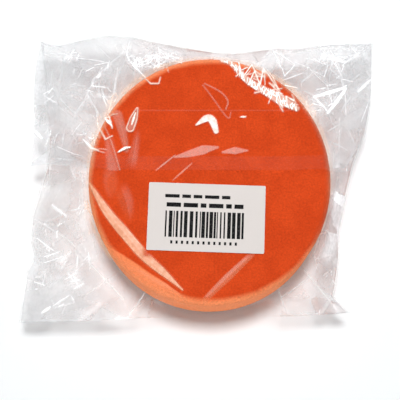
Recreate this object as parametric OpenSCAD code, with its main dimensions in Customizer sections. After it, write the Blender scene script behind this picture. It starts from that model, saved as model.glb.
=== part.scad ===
// Foam polishing pad with a loop backing, packed in a clear film bag.
// The pad lies on its backing. +Z is the pad's axis, and +Y points to the bag's top fold.
// The origin is where the axis meets the surface that the bag rests on. Millimetres.

/* [Foam disc] */
// Diameter of the foam disc
pad_d = 150; // [140:1:180]
// Thickness of the foam
foam_t = 47.5; // [25:0.5:60]
// Radius that rounds the edge of the working face
face_edge_r = 5.6; // [2:0.1:10]
// Radius that rounds the edge on the backing's side
back_edge_r = 1.5; // [0.5:0.1:3]

/* [Loop backing] */
// Thickness of the loop fabric, its ground and its pile together
loop_t = 2.2; // [1:0.1:4]
// Thickness of the adhesive film between the fabric and the foam
bond_t = 0.3; // [0.1:0.1:1]
// Width of the bare foam ring around the fabric
backing_margin = 1.5; // [0.5:0.1:4]

/* [Bag] */
// Thickness of the film
film_t = 0.2; // [0.1:0.05:0.4]
// From the pad's rim to the top fold
top_margin = 20; // [15:1:30]
// From the pad's rim to the bottom fold, at the left
foot_margin = 9; // [6:1:25]
// How much nearer to the pad the bottom fold lies at the right
foot_rise = 5; // [0:1:6]
// From the pad's rim to the left side, along the top fold
top_left_margin = 36; // [25:1:45]
// From the pad's rim to the right side, along the top fold
top_right_margin = 29; // [25:1:45]
// From the pad's rim to the left side, along the bottom fold
foot_left_margin = 42; // [15:1:50]
// From the pad's rim to the right side, along the bottom fold
foot_right_margin = 11; // [10:1:50]
// How far the thickness of the pad draws in the left side
left_in = 12; // [0:1:14]
// How far it draws in the right side, below the flap
right_in = 11; // [0:1:12]
// How far it draws in the top fold
top_in = 8; // [0:1:10]
// How far the film sags between the pad and its edge
film_sag = 2; // [0:0.5:3]
// Height of the broad folds that run out from the pad
fold_rise = 2; // [0:0.5:3]
// Width of the side welds
weld_w = 1.5; // [1:0.1:4]
// Width of the edge where the two panels meet
rim_w = 0.8; // [0.5:0.1:2]

/* [Closing flap] */
// Length of the flap, from the top fold to its free edge
flap_len = 89; // [80:1:95]
// Width of the adhesive strip
strip_w = 8.5; // [6:0.5:15]
// Thickness of the adhesive strip
strip_t = 0.1; // [0.05:0.05:0.2]
// From the flap's free edge to the adhesive strip
strip_inset = 1; // [0.5:0.5:5]
// Bare film at each end of the adhesive strip
strip_end = 6; // [3:1:20]

/* [Label] */
// Width of the label
label_w = 70; // [50:1:80]
// Height of the label
label_h = 41; // [30:1:45]
// Thickness of the label
label_t = 0.15; // [0.1:0.05:0.3]
// How far the label's middle lies left of the pad's axis
label_left = 2; // [0:1:8]
// From the flap's free edge to the label
label_gap = 9.5; // [5:0.5:12]
// Turn of the label
label_turn = -2; // [-5:1:5]

/* [Clearances] */
// Between the film and the pad
film_gap = 0.3; // [0.2:0.1:1]
// Between the closed flap and the front panel
flap_gap = 0.4; // [0.3:0.1:1]

/* [Hidden] */
// Smoothness of the disc
disc_fn = 180;
// Angle between neighbouring points of the bag's surfaces
bag_step = 4;
// Steps around the rounded edge of the film over the pad
edge_steps = 4;
// Steps down the slope of the film, from the pad to its edge
slope_steps = 3;
// A slope at least this long sags and folds in full
full_slope = 25;

pad_r = pad_d / 2;
backing_r = pad_r - backing_margin;
bond_z = film_t + loop_t;
foam_z = bond_z + bond_t;
pad_top = foam_z + foam_t;
seam_z = pad_top / 2;
front_top = pad_top + film_gap + film_t;
bend_centre = [pad_r - face_edge_r, pad_top - face_edge_r];

fold_y = pad_r + top_margin;
foot_y = -pad_r - foot_margin;
flap_y = fold_y - flap_len;
flap_z = seam_z + film_t + flap_gap;
flap_under = film_gap + film_t + flap_gap;

foot_left = [-pad_r - foot_left_margin, foot_y];
foot_right = [pad_r + foot_right_margin, foot_y + foot_rise];
top_right = [pad_r + top_right_margin, fold_y];
top_left = [-pad_r - top_left_margin, fold_y];

// Where each edge is drawn in: from and to
left_span = [-0.4 * pad_r, 1.2 * pad_r];
right_span = [foot_right[1], 0.35 * pad_r];
top_span = [-0.5 * pad_r, 1.15 * pad_r];

// ---- the bag's outline ----

// The point of the line from p to q whose y is given
function at_height(p, q, y) = p + (q - p) * (y - p[1]) / (q[1] - p[1]);

// Where the ray from the axis at an angle meets the line from p to q
function on_edge(angle, p, q) =
    let (ray = [cos(angle), sin(angle)])
    ray * cross(p, q - p) / cross(ray, q - p);

// Points from p up to q, spaced by equal angles about the axis
function edge_points(p, q) =
    let (
        start = atan2(p[1], p[0]),
        sweep = (atan2(q[1], q[0]) - start + 720) % 360,
        count = ceil(sweep / bag_step)
    )
    [for (i = [0 : count - 1]) on_edge(start + sweep * i / count, p, q)];

// How far an edge is drawn in at a place, most of all in the middle of a span
function drawn_in(most, at, span) =
    at > span[0] && at < span[1] ? most * sin(180 * (at - span[0]) / (span[1] - span[0])) : 0;

right_side = [
    for (p = edge_points(foot_right, top_right)) p - [drawn_in(right_in, p[1], right_span), 0]
];

top_side = [
    for (p = edge_points(top_right, top_left)) p - [0, drawn_in(top_in, p[0], top_span)]
];

// The left side of a film that is drawn in there by so much
function left_side(most) = [
    for (p = edge_points(top_left, foot_left)) p + [drawn_in(most, p[1], left_span), 0]
];

// The outline of the two panels, and that of the flap, which stays flat at the left
panel_outline = concat(edge_points(foot_left, foot_right), right_side, top_side, left_side(left_in));
flap_outline = concat(edge_points(foot_left, foot_right), right_side, top_side, left_side(0));

// ---- surfaces lofted from the pad to the outline ----

// The point in line with p at a distance from the axis and a height
function in_line(p, place) =
    let (q = p * place[0] / norm(p))
    [q[0], q[1], place[1]];

// An outline at a height, moved outwards by spread
function rim_ring(outline, spread, z) = [for (p = outline) in_line(p, [norm(p) + spread, z])];

// A circle about the axis, with one point in line with each point of an outline
function pad_ring(outline, r, z) = [for (p = outline) in_line(p, [r, z])];

// The angle on the rounded edge at which a taut film leaves it for a rim, given as a
// distance from the axis and a height
function leave_angle(bend_r, rim) =
    let (away = rim[0] - bend_centre[0], drop = bend_centre[1] - rim[1])
    acos(bend_r / norm([away, drop])) - atan2(drop, away);

function on_bend(bend_r, angle) = bend_centre + bend_r * [cos(angle), sin(angle)];

// A wave of straight slopes between -1 and 1, once for each whole turn
function zigzag(turn) = abs((turn - floor(turn)) * 4 - 2) - 1;

// The folds of the film at an angle about the axis, some way down its slope
function folds(angle, down) =
    0.6 * zigzag(9 * angle / 360 + 0.2 + down / 2)
        + 0.4 * zigzag(13 * angle / 360 + 0.7 - down / 2);

// How far the film lies below a straight slope of a length, in the direction of p
function slack(p, down, length) =
    min(1, length / full_slope) * sin(180 * down)
        * (film_sag - fold_rise * folds(atan2(p[1], p[0]), down));

// A place on the slope between the rounded edge and the rim, from 0 to 1 down it
function on_slope(p, bend_r, rim, down) =
    let (leave = on_bend(bend_r, leave_angle(bend_r, rim)))
    leave + (rim - leave) * down - [0, slack(p, down, rim[0] - leave[0])];

// A place on the rounded edge, from 0 where the film leaves it to 1 on the working face
function around_edge(p, bend_r, rim, up) =
    let (leave = leave_angle(bend_r, on_slope(p, bend_r, rim, 1 / slope_steps)))
    on_bend(bend_r, leave + (90 - leave) * up);

// The rings of a film's face over the pad, from its rim up to the working face
function dome_rings(outline, grow, spread, rim_z) =
    let (
        bend_r = face_edge_r + grow,
        rims = [for (p = outline) [norm(p) + spread, rim_z]],
        points = [0 : len(outline) - 1],
        slopes = [for (k = [1 : slope_steps - 1]) 1 - k / slope_steps],
        turns = [for (k = [0 : edge_steps]) k / edge_steps]
    )
    concat(
        [rim_ring(outline, spread, rim_z)],
        [
            for (down = slopes)
                [for (i = points) in_line(outline[i], on_slope(outline[i], bend_r, rims[i], down))]
        ],
        [
            for (up = turns)
                [for (i = points) in_line(outline[i], around_edge(outline[i], bend_r, rims[i], up))]
        ]
    );

// The rings of a film's face under the pad, from the backing up to its rim
function basin_rings(grow, spread, rim_z) = [
    pad_ring(panel_outline, backing_r + film_gap + grow, film_t - grow),
    pad_ring(panel_outline, pad_r + film_gap + grow, foam_z),
    rim_ring(panel_outline, spread, rim_z)
];

function reversed(list) = [for (i = [len(list) - 1 : -1 : 0]) list[i]];

// The two triangles between neighbouring points of two rings. Going down, they are split
// the other way, so that films which lie on each other fold along the same lines.
function facet(low, high, i, next, down) =
    down
        ? [[low + i, high + i, low + next], [high + i, high + next, low + next]]
        : [[low + i, high + i, high + next], [low + i, high + next, low + next]];

// A closed solid through rings of points, with a flat cap about the axis at each end
module loft(rings) {
    n = len(rings[0]);
    count = len(rings);
    top_row = (count - 1) * n;
    low_centre = count * n;
    high_centre = low_centre + 1;
    points = concat(
        [for (ring = rings) for (p = ring) p],
        [[0, 0, rings[0][0][2]], [0, 0, rings[count - 1][0][2]]]
    );
    faces = [
        for (i = [0 : n - 1])
            let (next = (i + 1) % n)
                each concat(
                    [[low_centre, i, next], [high_centre, top_row + next, top_row + i]],
                    [
                        for (k = [0 : count - 2])
                            let (down = rings[k + 1][0][2] < rings[k][0][2])
                                each facet(k * n, (k + 1) * n, i, next, down)
                    ]
                )
    ];
    polyhedron(points, faces);
}

// A film draped over the pad, between two distances from it
module film_over(outline, under, over, spread, rim, rim_z) {
    loft(concat(
        reversed(dome_rings(outline, under, spread, rim_z)),
        dome_rings(outline, over, spread + rim, rim_z)
    ));
}

// The film that the pad stands on
module film_below(rim_z) {
    loft(concat(
        basin_rings(film_t, 0, rim_z),
        reversed(basin_rings(0, -rim_w, rim_z))
    ));
}

// Everything between two heights of y, over the whole bag
module across(y_low, y_high) {
    reach = 2 * (pad_d + top_left_margin + top_right_margin);
    translate([-reach / 2, y_low, 0])
        cube([reach, y_high - y_low, 2 * pad_top]);
}

// A line of weld outside one side of the panels: side is -1 for left and 1 for right
module side_weld(edge, side) {
    outer = [for (p = edge) p + [side * weld_w, 0]];
    translate([0, 0, seam_z - film_t])
        linear_extrude(2 * film_t)
            polygon(concat(edge, reversed(outer)));
}

// ---- the sub-parts ----

module foam_disc() {
    color("orangered")
        translate([0, 0, foam_z])
            rotate_extrude($fn = disc_fn)
                union() {
                    square([pad_r - face_edge_r, foam_t]);
                    square([pad_r - back_edge_r, foam_t - face_edge_r]);
                    translate([0, back_edge_r])
                        square([pad_r, foam_t - face_edge_r - back_edge_r]);
                    translate([pad_r - face_edge_r, foam_t - face_edge_r])
                        circle(r = face_edge_r);
                    translate([pad_r - back_edge_r, back_edge_r])
                        circle(r = back_edge_r);
                }
}

module bond_film() {
    color("cornsilk")
        translate([0, 0, bond_z])
            cylinder(r = backing_r, h = bond_t, $fn = disc_fn);
}

module loop_backing() {
    color("whitesmoke")
        translate([0, 0, film_t])
            cylinder(r = backing_r, h = loop_t, $fn = disc_fn);
}

module bag_front_panel() {
    color("gainsboro", 0.4)
        film_over(panel_outline, film_gap, film_gap + film_t, -rim_w, rim_w, seam_z);
}

module bag_back_panel() {
    color("gainsboro", 0.4)
        film_below(seam_z);
}

module side_weld_left() {
    color("lightgray", 0.6)
        side_weld(concat(left_side(left_in), [foot_left]), -1);
}

module side_weld_right() {
    color("lightgray", 0.6)
        side_weld(concat(right_side, [top_right]), 1);
}

module closing_flap() {
    color("gainsboro", 0.4)
        intersection() {
            across(flap_y, fold_y + top_margin);
            film_over(flap_outline, flap_under, flap_under + film_t, flap_gap, rim_w, flap_z);
        }
}

module adhesive_strip() {
    strip_y = flap_y + strip_inset;
    strip_left = at_height(foot_left, top_left, strip_y)[0] + strip_end;
    strip_right = at_height(foot_right, top_right, strip_y)[0]
        - drawn_in(right_in, strip_y, right_span) - strip_end;
    color("lightgray", 0.6)
        intersection() {
            translate([strip_left, strip_y, 0])
                cube([strip_right - strip_left, strip_w, 2 * pad_top]);
            difference() {
                loft(dome_rings(flap_outline, flap_under, flap_gap, flap_z));
                loft(dome_rings(
                    flap_outline, flap_under - strip_t, flap_gap - strip_t, flap_z - strip_t
                ));
            }
        }
}

module label() {
    color("white")
        translate([-label_left, flap_y - label_gap - label_h / 2, front_top])
            rotate(label_turn)
                translate([-label_w / 2, -label_h / 2, 0])
                    cube([label_w, label_h, label_t]);
}

foam_disc();
bond_film();
loop_backing();
bag_front_panel();
bag_back_panel();
side_weld_left();
side_weld_right();
closing_flap();
adhesive_strip();
label();
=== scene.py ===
"""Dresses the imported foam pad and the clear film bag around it.

Shapes are worked out in millimetres and written in metres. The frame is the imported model's: +Z is
the pad's axis, +Y points to the bag's top fold, and the bag rests on the plane Z = 0.
"""

import logging
import math
from dataclasses import dataclass, field
from enum import Enum

import bpy
import numpy as np
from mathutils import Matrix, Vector, noise


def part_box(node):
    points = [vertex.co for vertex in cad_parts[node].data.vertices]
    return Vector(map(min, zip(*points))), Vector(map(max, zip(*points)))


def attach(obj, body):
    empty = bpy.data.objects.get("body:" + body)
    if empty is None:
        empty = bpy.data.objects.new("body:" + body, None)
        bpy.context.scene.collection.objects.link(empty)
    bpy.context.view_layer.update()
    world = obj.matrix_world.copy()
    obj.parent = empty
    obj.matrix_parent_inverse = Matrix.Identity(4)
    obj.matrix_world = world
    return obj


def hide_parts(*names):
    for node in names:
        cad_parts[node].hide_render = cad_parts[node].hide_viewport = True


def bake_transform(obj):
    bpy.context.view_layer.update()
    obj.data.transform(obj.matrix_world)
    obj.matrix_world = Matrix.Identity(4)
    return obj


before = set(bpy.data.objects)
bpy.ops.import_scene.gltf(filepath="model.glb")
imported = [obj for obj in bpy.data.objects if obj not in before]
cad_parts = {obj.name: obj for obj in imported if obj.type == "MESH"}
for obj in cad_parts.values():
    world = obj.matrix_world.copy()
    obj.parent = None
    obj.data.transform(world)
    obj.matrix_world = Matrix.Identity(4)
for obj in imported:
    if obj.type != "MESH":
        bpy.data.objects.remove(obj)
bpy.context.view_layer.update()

LOG = logging.getLogger("pad")
MM = 0.001
# Marks centred nearer to the pad's axis than this, in mm, curve. Those farther out are sharp folds.
CURVED_WITHIN = 66.0

Point = tuple[float, float]
Colour = tuple[float, float, float, float]


def srgb(red: int, green: int, blue: int) -> Colour:
    """A colour written as 0 to 255 display values, as Blender's linear RGBA."""
    parts = [value / 255 for value in (red, green, blue)]
    linear = [p / 12.92 if p <= 0.04045 else ((p + 0.055) / 1.055) ** 2.4 for p in parts]
    return (*linear, 1.0)


def smoothstep(value: np.ndarray, low: float, high: float) -> np.ndarray:
    """Rises smoothly from 0 at low to 1 at high."""
    share = np.clip((value - low) / (high - low), 0.0, 1.0)
    return share * share * (3 - 2 * share)


# ---- the finishes ----


class NodeKit:
    """Adds nodes to one shader tree and joins them."""

    def __init__(self, tree: bpy.types.NodeTree) -> None:
        """Keeps the tree that the nodes go into."""
        self.tree = tree

    def add(self, kind: str, **settings: object) -> bpy.types.Node:
        """Adds a node.

        Args:
            kind: the node's type without its ShaderNode prefix.
            settings: properties to set on it.

        Returns:
            The new node.
        """
        node = self.tree.nodes.new("ShaderNode" + kind)
        for name, value in settings.items():
            setattr(node, name, value)
        return node

    def put(self, socket: bpy.types.NodeSocket, value: object) -> None:
        """Joins a socket to a node's output, or sets its plain value."""
        if isinstance(value, bpy.types.NodeSocket):
            self.tree.links.new(value, socket)
        else:
            socket.default_value = value

    def math(self, operation: str, *values: object, clamp: bool = False) -> bpy.types.NodeSocket:
        """A Math node of up to three values, and its result."""
        node = self.add("Math", operation=operation, use_clamp=clamp)
        for socket, value in zip(node.inputs, values):
            self.put(socket, value)
        return node.outputs[0]

    def blend(self, factor: object, first: object, second: object) -> bpy.types.NodeSocket:
        """A colour that goes from first to second as the factor rises."""
        node = self.add("Mix", data_type="RGBA")
        for socket, value in zip((node.inputs[0], node.inputs[6], node.inputs[7]), (factor, first, second)):
            self.put(socket, value)
        return node.outputs[2]

    def rise(
        self, value: object, low: float, high: float, start: float = 0.0, end: float = 1.0
    ) -> bpy.types.NodeSocket:
        """A smooth step of a value, from start at low to end at high."""
        node = self.add("MapRange", interpolation_type="SMOOTHSTEP")
        for socket, setting in zip(node.inputs, (value, low, high, start, end)):
            self.put(socket, setting)
        return node.outputs[0]

    def grain(self, vector: object, scale: float, detail: float = 2.0) -> bpy.types.NodeSocket:
        """A noise value around 0.5 with about scale spots to the metre."""
        node = self.add("TexNoise")
        self.put(node.inputs["Vector"], vector)
        node.inputs["Scale"].default_value = scale
        node.inputs["Detail"].default_value = detail
        return node.outputs["Fac"]

    def bump(self, height: object, depth_mm: float, strength: float = 1.0) -> bpy.types.NodeSocket:
        """A normal bent by a height from 0 to 1 that stands for depth_mm."""
        node = self.add("Bump")
        node.inputs["Strength"].default_value = strength
        node.inputs["Distance"].default_value = depth_mm * MM
        self.put(node.inputs["Height"], height)
        return node.outputs["Normal"]


@dataclass(frozen=True)
class Finish:
    """A named material that starts as one Principled shader."""

    name: str

    def start(self) -> tuple[bpy.types.Material, NodeKit, bpy.types.Node, bpy.types.NodeSocket]:
        """Makes the material.

        Returns:
            The material, its nodes, its Principled shader and the piece's own coordinates.
        """
        material = bpy.data.materials.new(self.name)
        material.use_nodes = True
        kit = NodeKit(material.node_tree)
        shader = material.node_tree.nodes["Principled BSDF"]
        place = kit.add("TexCoord").outputs["Object"]
        return material, kit, shader, place


def new_group(
    name: str, inputs: dict[str, float | None], outputs: dict[str, str]
) -> tuple[bpy.types.NodeTree, NodeKit]:
    """Starts a shader group.

    Args:
        name: the group's name.
        inputs: each input's starting number, or None for a vector.
        outputs: each output's socket type.

    Returns:
        The group and its nodes, with the group's own input and output nodes added.
    """
    group = bpy.data.node_groups.new(name, "ShaderNodeTree")
    for label, value in inputs.items():
        kind = "NodeSocketVector" if value is None else "NodeSocketFloat"
        socket = group.interface.new_socket(label, in_out="INPUT", socket_type=kind)
        if value is not None:
            socket.default_value = value
    for label, kind in outputs.items():
        group.interface.new_socket(label, in_out="OUTPUT", socket_type=kind)
    kit = NodeKit(group)
    kit.tree.nodes.new("NodeGroupInput").name = "in"
    kit.tree.nodes.new("NodeGroupOutput").name = "out"
    return group, kit


def cell_group() -> bpy.types.NodeTree:
    """Small open cells, as in foam, loops and paper: Value mottles a colour, Height is for a bump."""
    group, kit = new_group(
        "fine_cells",
        {"Vector": None, "Scale": 1000.0, "Spread": 0.5},
        {"Value": "NodeSocketFloat", "Height": "NodeSocketFloat"},
    )
    entry, leave = group.nodes["in"], group.nodes["out"]
    cells = kit.add("TexVoronoi")
    spots = kit.add("TexNoise")
    for node in (cells, spots):
        kit.put(node.inputs["Vector"], entry.outputs["Vector"])
        kit.put(node.inputs["Scale"], entry.outputs["Scale"])
    spots.inputs["Detail"].default_value = 3.0
    around = kit.math("SUBTRACT", spots.outputs["Fac"], 0.5)
    kit.put(leave.inputs["Value"], kit.math("MULTIPLY_ADD", around, entry.outputs["Spread"], 1.0))
    kit.put(leave.inputs["Height"], kit.math("ADD", cells.outputs["Distance"], spots.outputs["Fac"]))
    return group


def web_group() -> bpy.types.NodeTree:
    """Fine creases of crushed film: Lines is the web of ridges, Height the facets between them."""
    group, kit = new_group(
        "film_web",
        {"Vector": None, "Scale": 250.0, "Width": 0.06, "Wander": 0.0015},
        {"Lines": "NodeSocketFloat", "Height": "NodeSocketFloat"},
    )
    entry, leave = group.nodes["in"], group.nodes["out"]
    drift = kit.add("TexNoise")
    kit.put(drift.inputs["Vector"], entry.outputs["Vector"])
    drift.inputs["Scale"].default_value = 160.0
    centred = kit.add("VectorMath", operation="SUBTRACT")
    kit.put(centred.inputs[0], drift.outputs["Color"])
    centred.inputs[1].default_value = (0.5, 0.5, 0.5)
    moved = kit.add("VectorMath", operation="SCALE")
    kit.put(moved.inputs[0], centred.outputs[0])
    kit.put(moved.inputs["Scale"], entry.outputs["Wander"])
    bent = kit.add("VectorMath", operation="ADD")
    kit.put(bent.inputs[0], entry.outputs["Vector"])
    kit.put(bent.inputs[1], moved.outputs[0])
    distances = []
    for angle, size in ((0.7, 1.0), (-0.6, 1.3)):
        turned = kit.add("Mapping")
        kit.put(turned.inputs["Vector"], bent.outputs[0])
        turned.inputs["Scale"].default_value = (1.0, 0.3, 1.0)
        turned.inputs["Rotation"].default_value = (0.0, 0.0, angle)
        cells = kit.add("TexVoronoi", feature="DISTANCE_TO_EDGE")
        kit.put(cells.inputs["Vector"], turned.outputs[0])
        kit.put(cells.inputs["Scale"], kit.math("MULTIPLY", entry.outputs["Scale"], size))
        distances.append(cells.outputs["Distance"])
    near = [
        kit.math("SUBTRACT", 1.0, kit.math("DIVIDE", distance, entry.outputs["Width"], clamp=True))
        for distance in distances
    ]
    kit.put(leave.inputs["Lines"], kit.math("MAXIMUM", *near))
    kit.put(leave.inputs["Height"], kit.math("ADD", *distances))
    return group


class Shared:
    """The shader groups that more than one finish places."""

    cells: bpy.types.NodeTree
    web: bpy.types.NodeTree

    @classmethod
    def build(cls) -> None:
        """Makes each group once."""
        cls.cells = cell_group()
        cls.web = web_group()

    @classmethod
    def place(cls, kit: NodeKit, group: bpy.types.NodeTree, **values: object) -> bpy.types.Node:
        """Adds a group to a material with its own values.

        Args:
            kit: the material's nodes.
            group: the shared group.
            values: what goes into each of its inputs.

        Returns:
            The group's node.
        """
        node = kit.add("Group", node_tree=group)
        for name, value in values.items():
            kit.put(node.inputs[name], value)
        return node


@dataclass(frozen=True)
class FoamFinish(Finish):
    """Reticulated polishing foam, deep on the working face. Its paler rim and side are a painted sheen and
    glow of light through the foam, set wider on the left.
    """

    face: Colour = srgb(209, 69, 21)
    spot: Colour = srgb(201, 64, 17)
    # The paler orange of the rim and side: painted sheen and glow.
    side: Colour = srgb(250, 146, 94)
    # Moves the painted pale ring off the axis, in mm, so that it is wider on the left.
    shift: Point = (1.4, 0.2)
    face_end: float = 70.8
    side_start: float = 75.0
    # Direction, and distance in mm, past which the face's lower-left edge takes the pale rim colour: a
    # painted crescent of sheen.
    crescent_sheen: tuple[float, float, float] = (-0.56, -0.83, 67.4)

    def build(self) -> bpy.types.Material:
        """Makes the foam's material."""
        material, kit, shader, place = self.start()
        fine = Shared.place(kit, Shared.cells, Vector=place, Scale=900.0, Spread=0.7)
        blotch = kit.rise(kit.grain(place, 75.0, 3.0), 0.42, 0.62)
        flat = kit.add("VectorMath", operation="MULTIPLY_ADD")
        kit.put(flat.inputs[0], place)
        flat.inputs[1].default_value = (1.0, 1.0, 0.0)
        flat.inputs[2].default_value = (-self.shift[0] * MM, -self.shift[1] * MM, 0.0)
        reach = kit.add("VectorMath", operation="LENGTH")
        kit.put(reach.inputs[0], flat.outputs[0])
        uneven = kit.math("MULTIPLY_ADD", kit.grain(place, 60.0), 0.003, -0.0015)
        radius = kit.math("ADD", reach.outputs["Value"], uneven)
        # 0 on the face, rising to 1 on the rim and side, where the painted sheen takes over.
        cut = kit.rise(radius, self.face_end * MM, self.side_start * MM)
        beyond = kit.add("VectorMath", operation="DOT_PRODUCT")
        kit.put(beyond.inputs[0], place)
        beyond.inputs[1].default_value = (*self.crescent_sheen[:2], 0.0)
        past = kit.math("ADD", beyond.outputs["Value"], uneven)
        # Up to 0.8 of the pale rim colour, painted over the face's lower-left edge as sheen.
        painted_crescent = kit.rise(past, (self.crescent_sheen[2] - 0.7) * MM, (self.crescent_sheen[2] + 0.7) * MM, 0.0, 0.8)
        cut = kit.math("MAXIMUM", cut, painted_crescent)
        colour = kit.blend(blotch, self.spot, self.face)
        colour = kit.blend(cut, colour, self.side)
        shaded = kit.add("VectorMath", operation="SCALE")
        kit.put(shaded.inputs[0], colour)
        kit.put(shaded.inputs["Scale"], fine.outputs["Value"])
        kit.put(shader.inputs["Base Color"], shaded.outputs[0])
        kit.put(shader.inputs["Normal"], kit.bump(fine.outputs["Height"], 0.35, 0.7))
        shader.inputs["Roughness"].default_value = 0.92
        shader.inputs["Specular IOR Level"].default_value = 0.2
        return material


@dataclass(frozen=True)
class FilmFinish(Finish):
    """Thin clear film: a faint mirror, milky where it is creased, with painted light: its whitest creases and
    glints are painted white and glow, and over the foam its milky colour takes a painted orange bounce.
    """

    tint: Colour = srgb(226, 228, 232)
    # The white of milky creases and of painted glints.
    milk_and_glint: Colour = srgb(252, 252, 253)
    cloud: Colour = srgb(247, 246, 247)
    # How strongly the whitest creases glow: a painted glint.
    glint: float = 0.35
    # The milky colour's tint over the pad: painted orange bounce light from the foam.
    painted_foam_bounce: Colour = srgb(255, 190, 140)
    veil: float = 0.05
    web_scale: float = 300.0
    crease_depth: float = 0.06

    def build(self) -> bpy.types.Material:
        """Makes the film's material."""
        material, kit, shader, place = self.start()
        haze, web, veil = (
            kit.add("Attribute", attribute_name=name).outputs["Fac"] for name in ("haze", "web", "veil")
        )
        crushed = Shared.place(kit, Shared.web, Vector=place, Scale=self.web_scale)
        mottle = kit.rise(kit.grain(place, 420.0, 3.0), 0.35, 0.65, 0.9, 1.05)
        # The white: milky creases and the web's fine lines, much of it painted glints.
        lines = kit.math("MULTIPLY", crushed.outputs["Lines"], web)
        white = kit.math("MULTIPLY_ADD", haze, mottle, lines, clamp=True)
        gloss = kit.add("LayerWeight")
        gloss.inputs["Blend"].default_value = 0.35
        edge = kit.math("MULTIPLY_ADD", gloss.outputs["Fresnel"], 1.6, 0.93)
        thin = kit.math("MULTIPLY", kit.math("MULTIPLY", veil, self.veil), edge, clamp=True)
        clear = kit.math("MULTIPLY", kit.math("SUBTRACT", 1.0, thin), kit.math("SUBTRACT", 1.0, white))
        kit.put(shader.inputs["Alpha"], kit.math("SUBTRACT", 1.0, clear))
        # Over the pad the milky colour takes the painted orange bounce; beside it, the plain cloud colour.
        cloud = kit.blend(kit.rise(veil, 0.02, 0.08), self.painted_foam_bounce, self.cloud)
        milk_and_glint = kit.blend(kit.rise(white, 0.55, 0.9), cloud, self.milk_and_glint)
        both = kit.math("MAXIMUM", kit.math("ADD", thin, white), 0.0005)
        mirror = kit.math("DIVIDE", thin, both, clamp=True)
        kit.put(shader.inputs["Base Color"], kit.blend(mirror, milk_and_glint, self.tint))
        kit.put(shader.inputs["Metallic"], mirror)
        # The whitest creases glow with light of their own, a painted glint.
        shader.inputs["Emission Color"].default_value = (1.0, 1.0, 1.0, 1.0)
        kit.put(shader.inputs["Emission Strength"], kit.rise(white, 0.3, 0.85, 0.0, self.glint))
        kit.put(shader.inputs["Roughness"], kit.math("MULTIPLY_ADD", white, 0.3, 0.26))
        crushed_height = kit.math("MULTIPLY", crushed.outputs["Height"], web)
        kit.put(shader.inputs["Normal"], kit.bump(crushed_height, self.crease_depth, 0.6))
        return material


@dataclass(frozen=True)
class LoopFinish(Finish):
    """Loop fabric: rows of small pale loops."""

    light: Colour = srgb(236, 234, 228)
    shade: Colour = srgb(176, 172, 164)

    def build(self) -> bpy.types.Material:
        """Makes the loop fabric's material."""
        material, kit, shader, place = self.start()
        loops = Shared.place(kit, Shared.cells, Vector=place, Scale=1100.0, Spread=0.4)
        rows = kit.add("TexWave", bands_direction="X")
        kit.put(rows.inputs["Vector"], place)
        rows.inputs["Scale"].default_value = 220.0
        rows.inputs["Distortion"].default_value = 3.0
        height = kit.math("MULTIPLY_ADD", rows.outputs["Fac"], 0.5, loops.outputs["Height"])
        colour = kit.blend(kit.rise(height, 0.4, 1.3), self.shade, self.light)
        kit.put(shader.inputs["Base Color"], colour)
        kit.put(shader.inputs["Normal"], kit.bump(height, 0.5))
        shader.inputs["Roughness"].default_value = 0.9
        shader.inputs["Sheen Weight"].default_value = 0.3
        return material


@dataclass(frozen=True)
class GlueFinish(Finish):
    """A hot-melt bonding film between the fabric and the foam."""

    colour: Colour = srgb(232, 214, 176)

    def build(self) -> bpy.types.Material:
        """Makes the bonding film's material."""
        material, kit, shader, place = self.start()
        spots = Shared.place(kit, Shared.cells, Vector=place, Scale=700.0, Spread=0.25)
        shaded = kit.add("VectorMath", operation="SCALE")
        shaded.inputs[0].default_value = self.colour[:3]
        kit.put(shaded.inputs["Scale"], spots.outputs["Value"])
        kit.put(shader.inputs["Base Color"], shaded.outputs[0])
        kit.put(shader.inputs["Normal"], kit.bump(spots.outputs["Height"], 0.1))
        shader.inputs["Roughness"].default_value = 0.35
        return material


@dataclass(frozen=True)
class BandFinish(Finish):
    """See-through film that is doubled or glued: welds and the adhesive strip."""

    colour: Colour = srgb(232, 232, 234)
    cover: float = 0.12
    grain_scale: float = 500.0
    gloss: float = 0.25

    def build(self) -> bpy.types.Material:
        """Makes the band's material."""
        material, kit, shader, place = self.start()
        marks = Shared.place(kit, Shared.cells, Vector=place, Scale=self.grain_scale, Spread=1.2)
        cover = kit.math("MULTIPLY", marks.outputs["Value"], self.cover, clamp=True)
        kit.put(shader.inputs["Alpha"], cover)
        kit.put(shader.inputs["Normal"], kit.bump(marks.outputs["Height"], 0.15))
        shader.inputs["Base Color"].default_value = self.colour
        shader.inputs["Roughness"].default_value = self.gloss
        return material


@dataclass(frozen=True)
class PaperFinish(Finish):
    """Label paper with a faint fibre."""

    colour: Colour = srgb(214, 207, 203)

    def build(self) -> bpy.types.Material:
        """Makes the paper's material."""
        material, kit, shader, place = self.start()
        fibre = Shared.place(kit, Shared.cells, Vector=place, Scale=1500.0, Spread=0.05)
        shaded = kit.add("VectorMath", operation="SCALE")
        shaded.inputs[0].default_value = self.colour[:3]
        kit.put(shaded.inputs["Scale"], fibre.outputs["Value"])
        kit.put(shader.inputs["Base Color"], shaded.outputs[0])
        kit.put(shader.inputs["Normal"], kit.bump(fibre.outputs["Height"], 0.02, 0.4))
        shader.inputs["Roughness"].default_value = 0.8
        return material


@dataclass(frozen=True)
class InkFinish(Finish):
    """Thermal print that thins out in places."""

    dark: Colour = srgb(12, 12, 13)
    thin: Colour = srgb(46, 45, 46)

    def build(self) -> bpy.types.Material:
        """Makes the print's material."""
        material, kit, shader, place = self.start()
        worn = kit.rise(kit.grain(place, 900.0, 2.0), 0.45, 0.7)
        kit.put(shader.inputs["Base Color"], kit.blend(worn, self.dark, self.thin))
        shader.inputs["Roughness"].default_value = 0.9
        shader.inputs["Specular IOR Level"].default_value = 0.2
        return material


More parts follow.
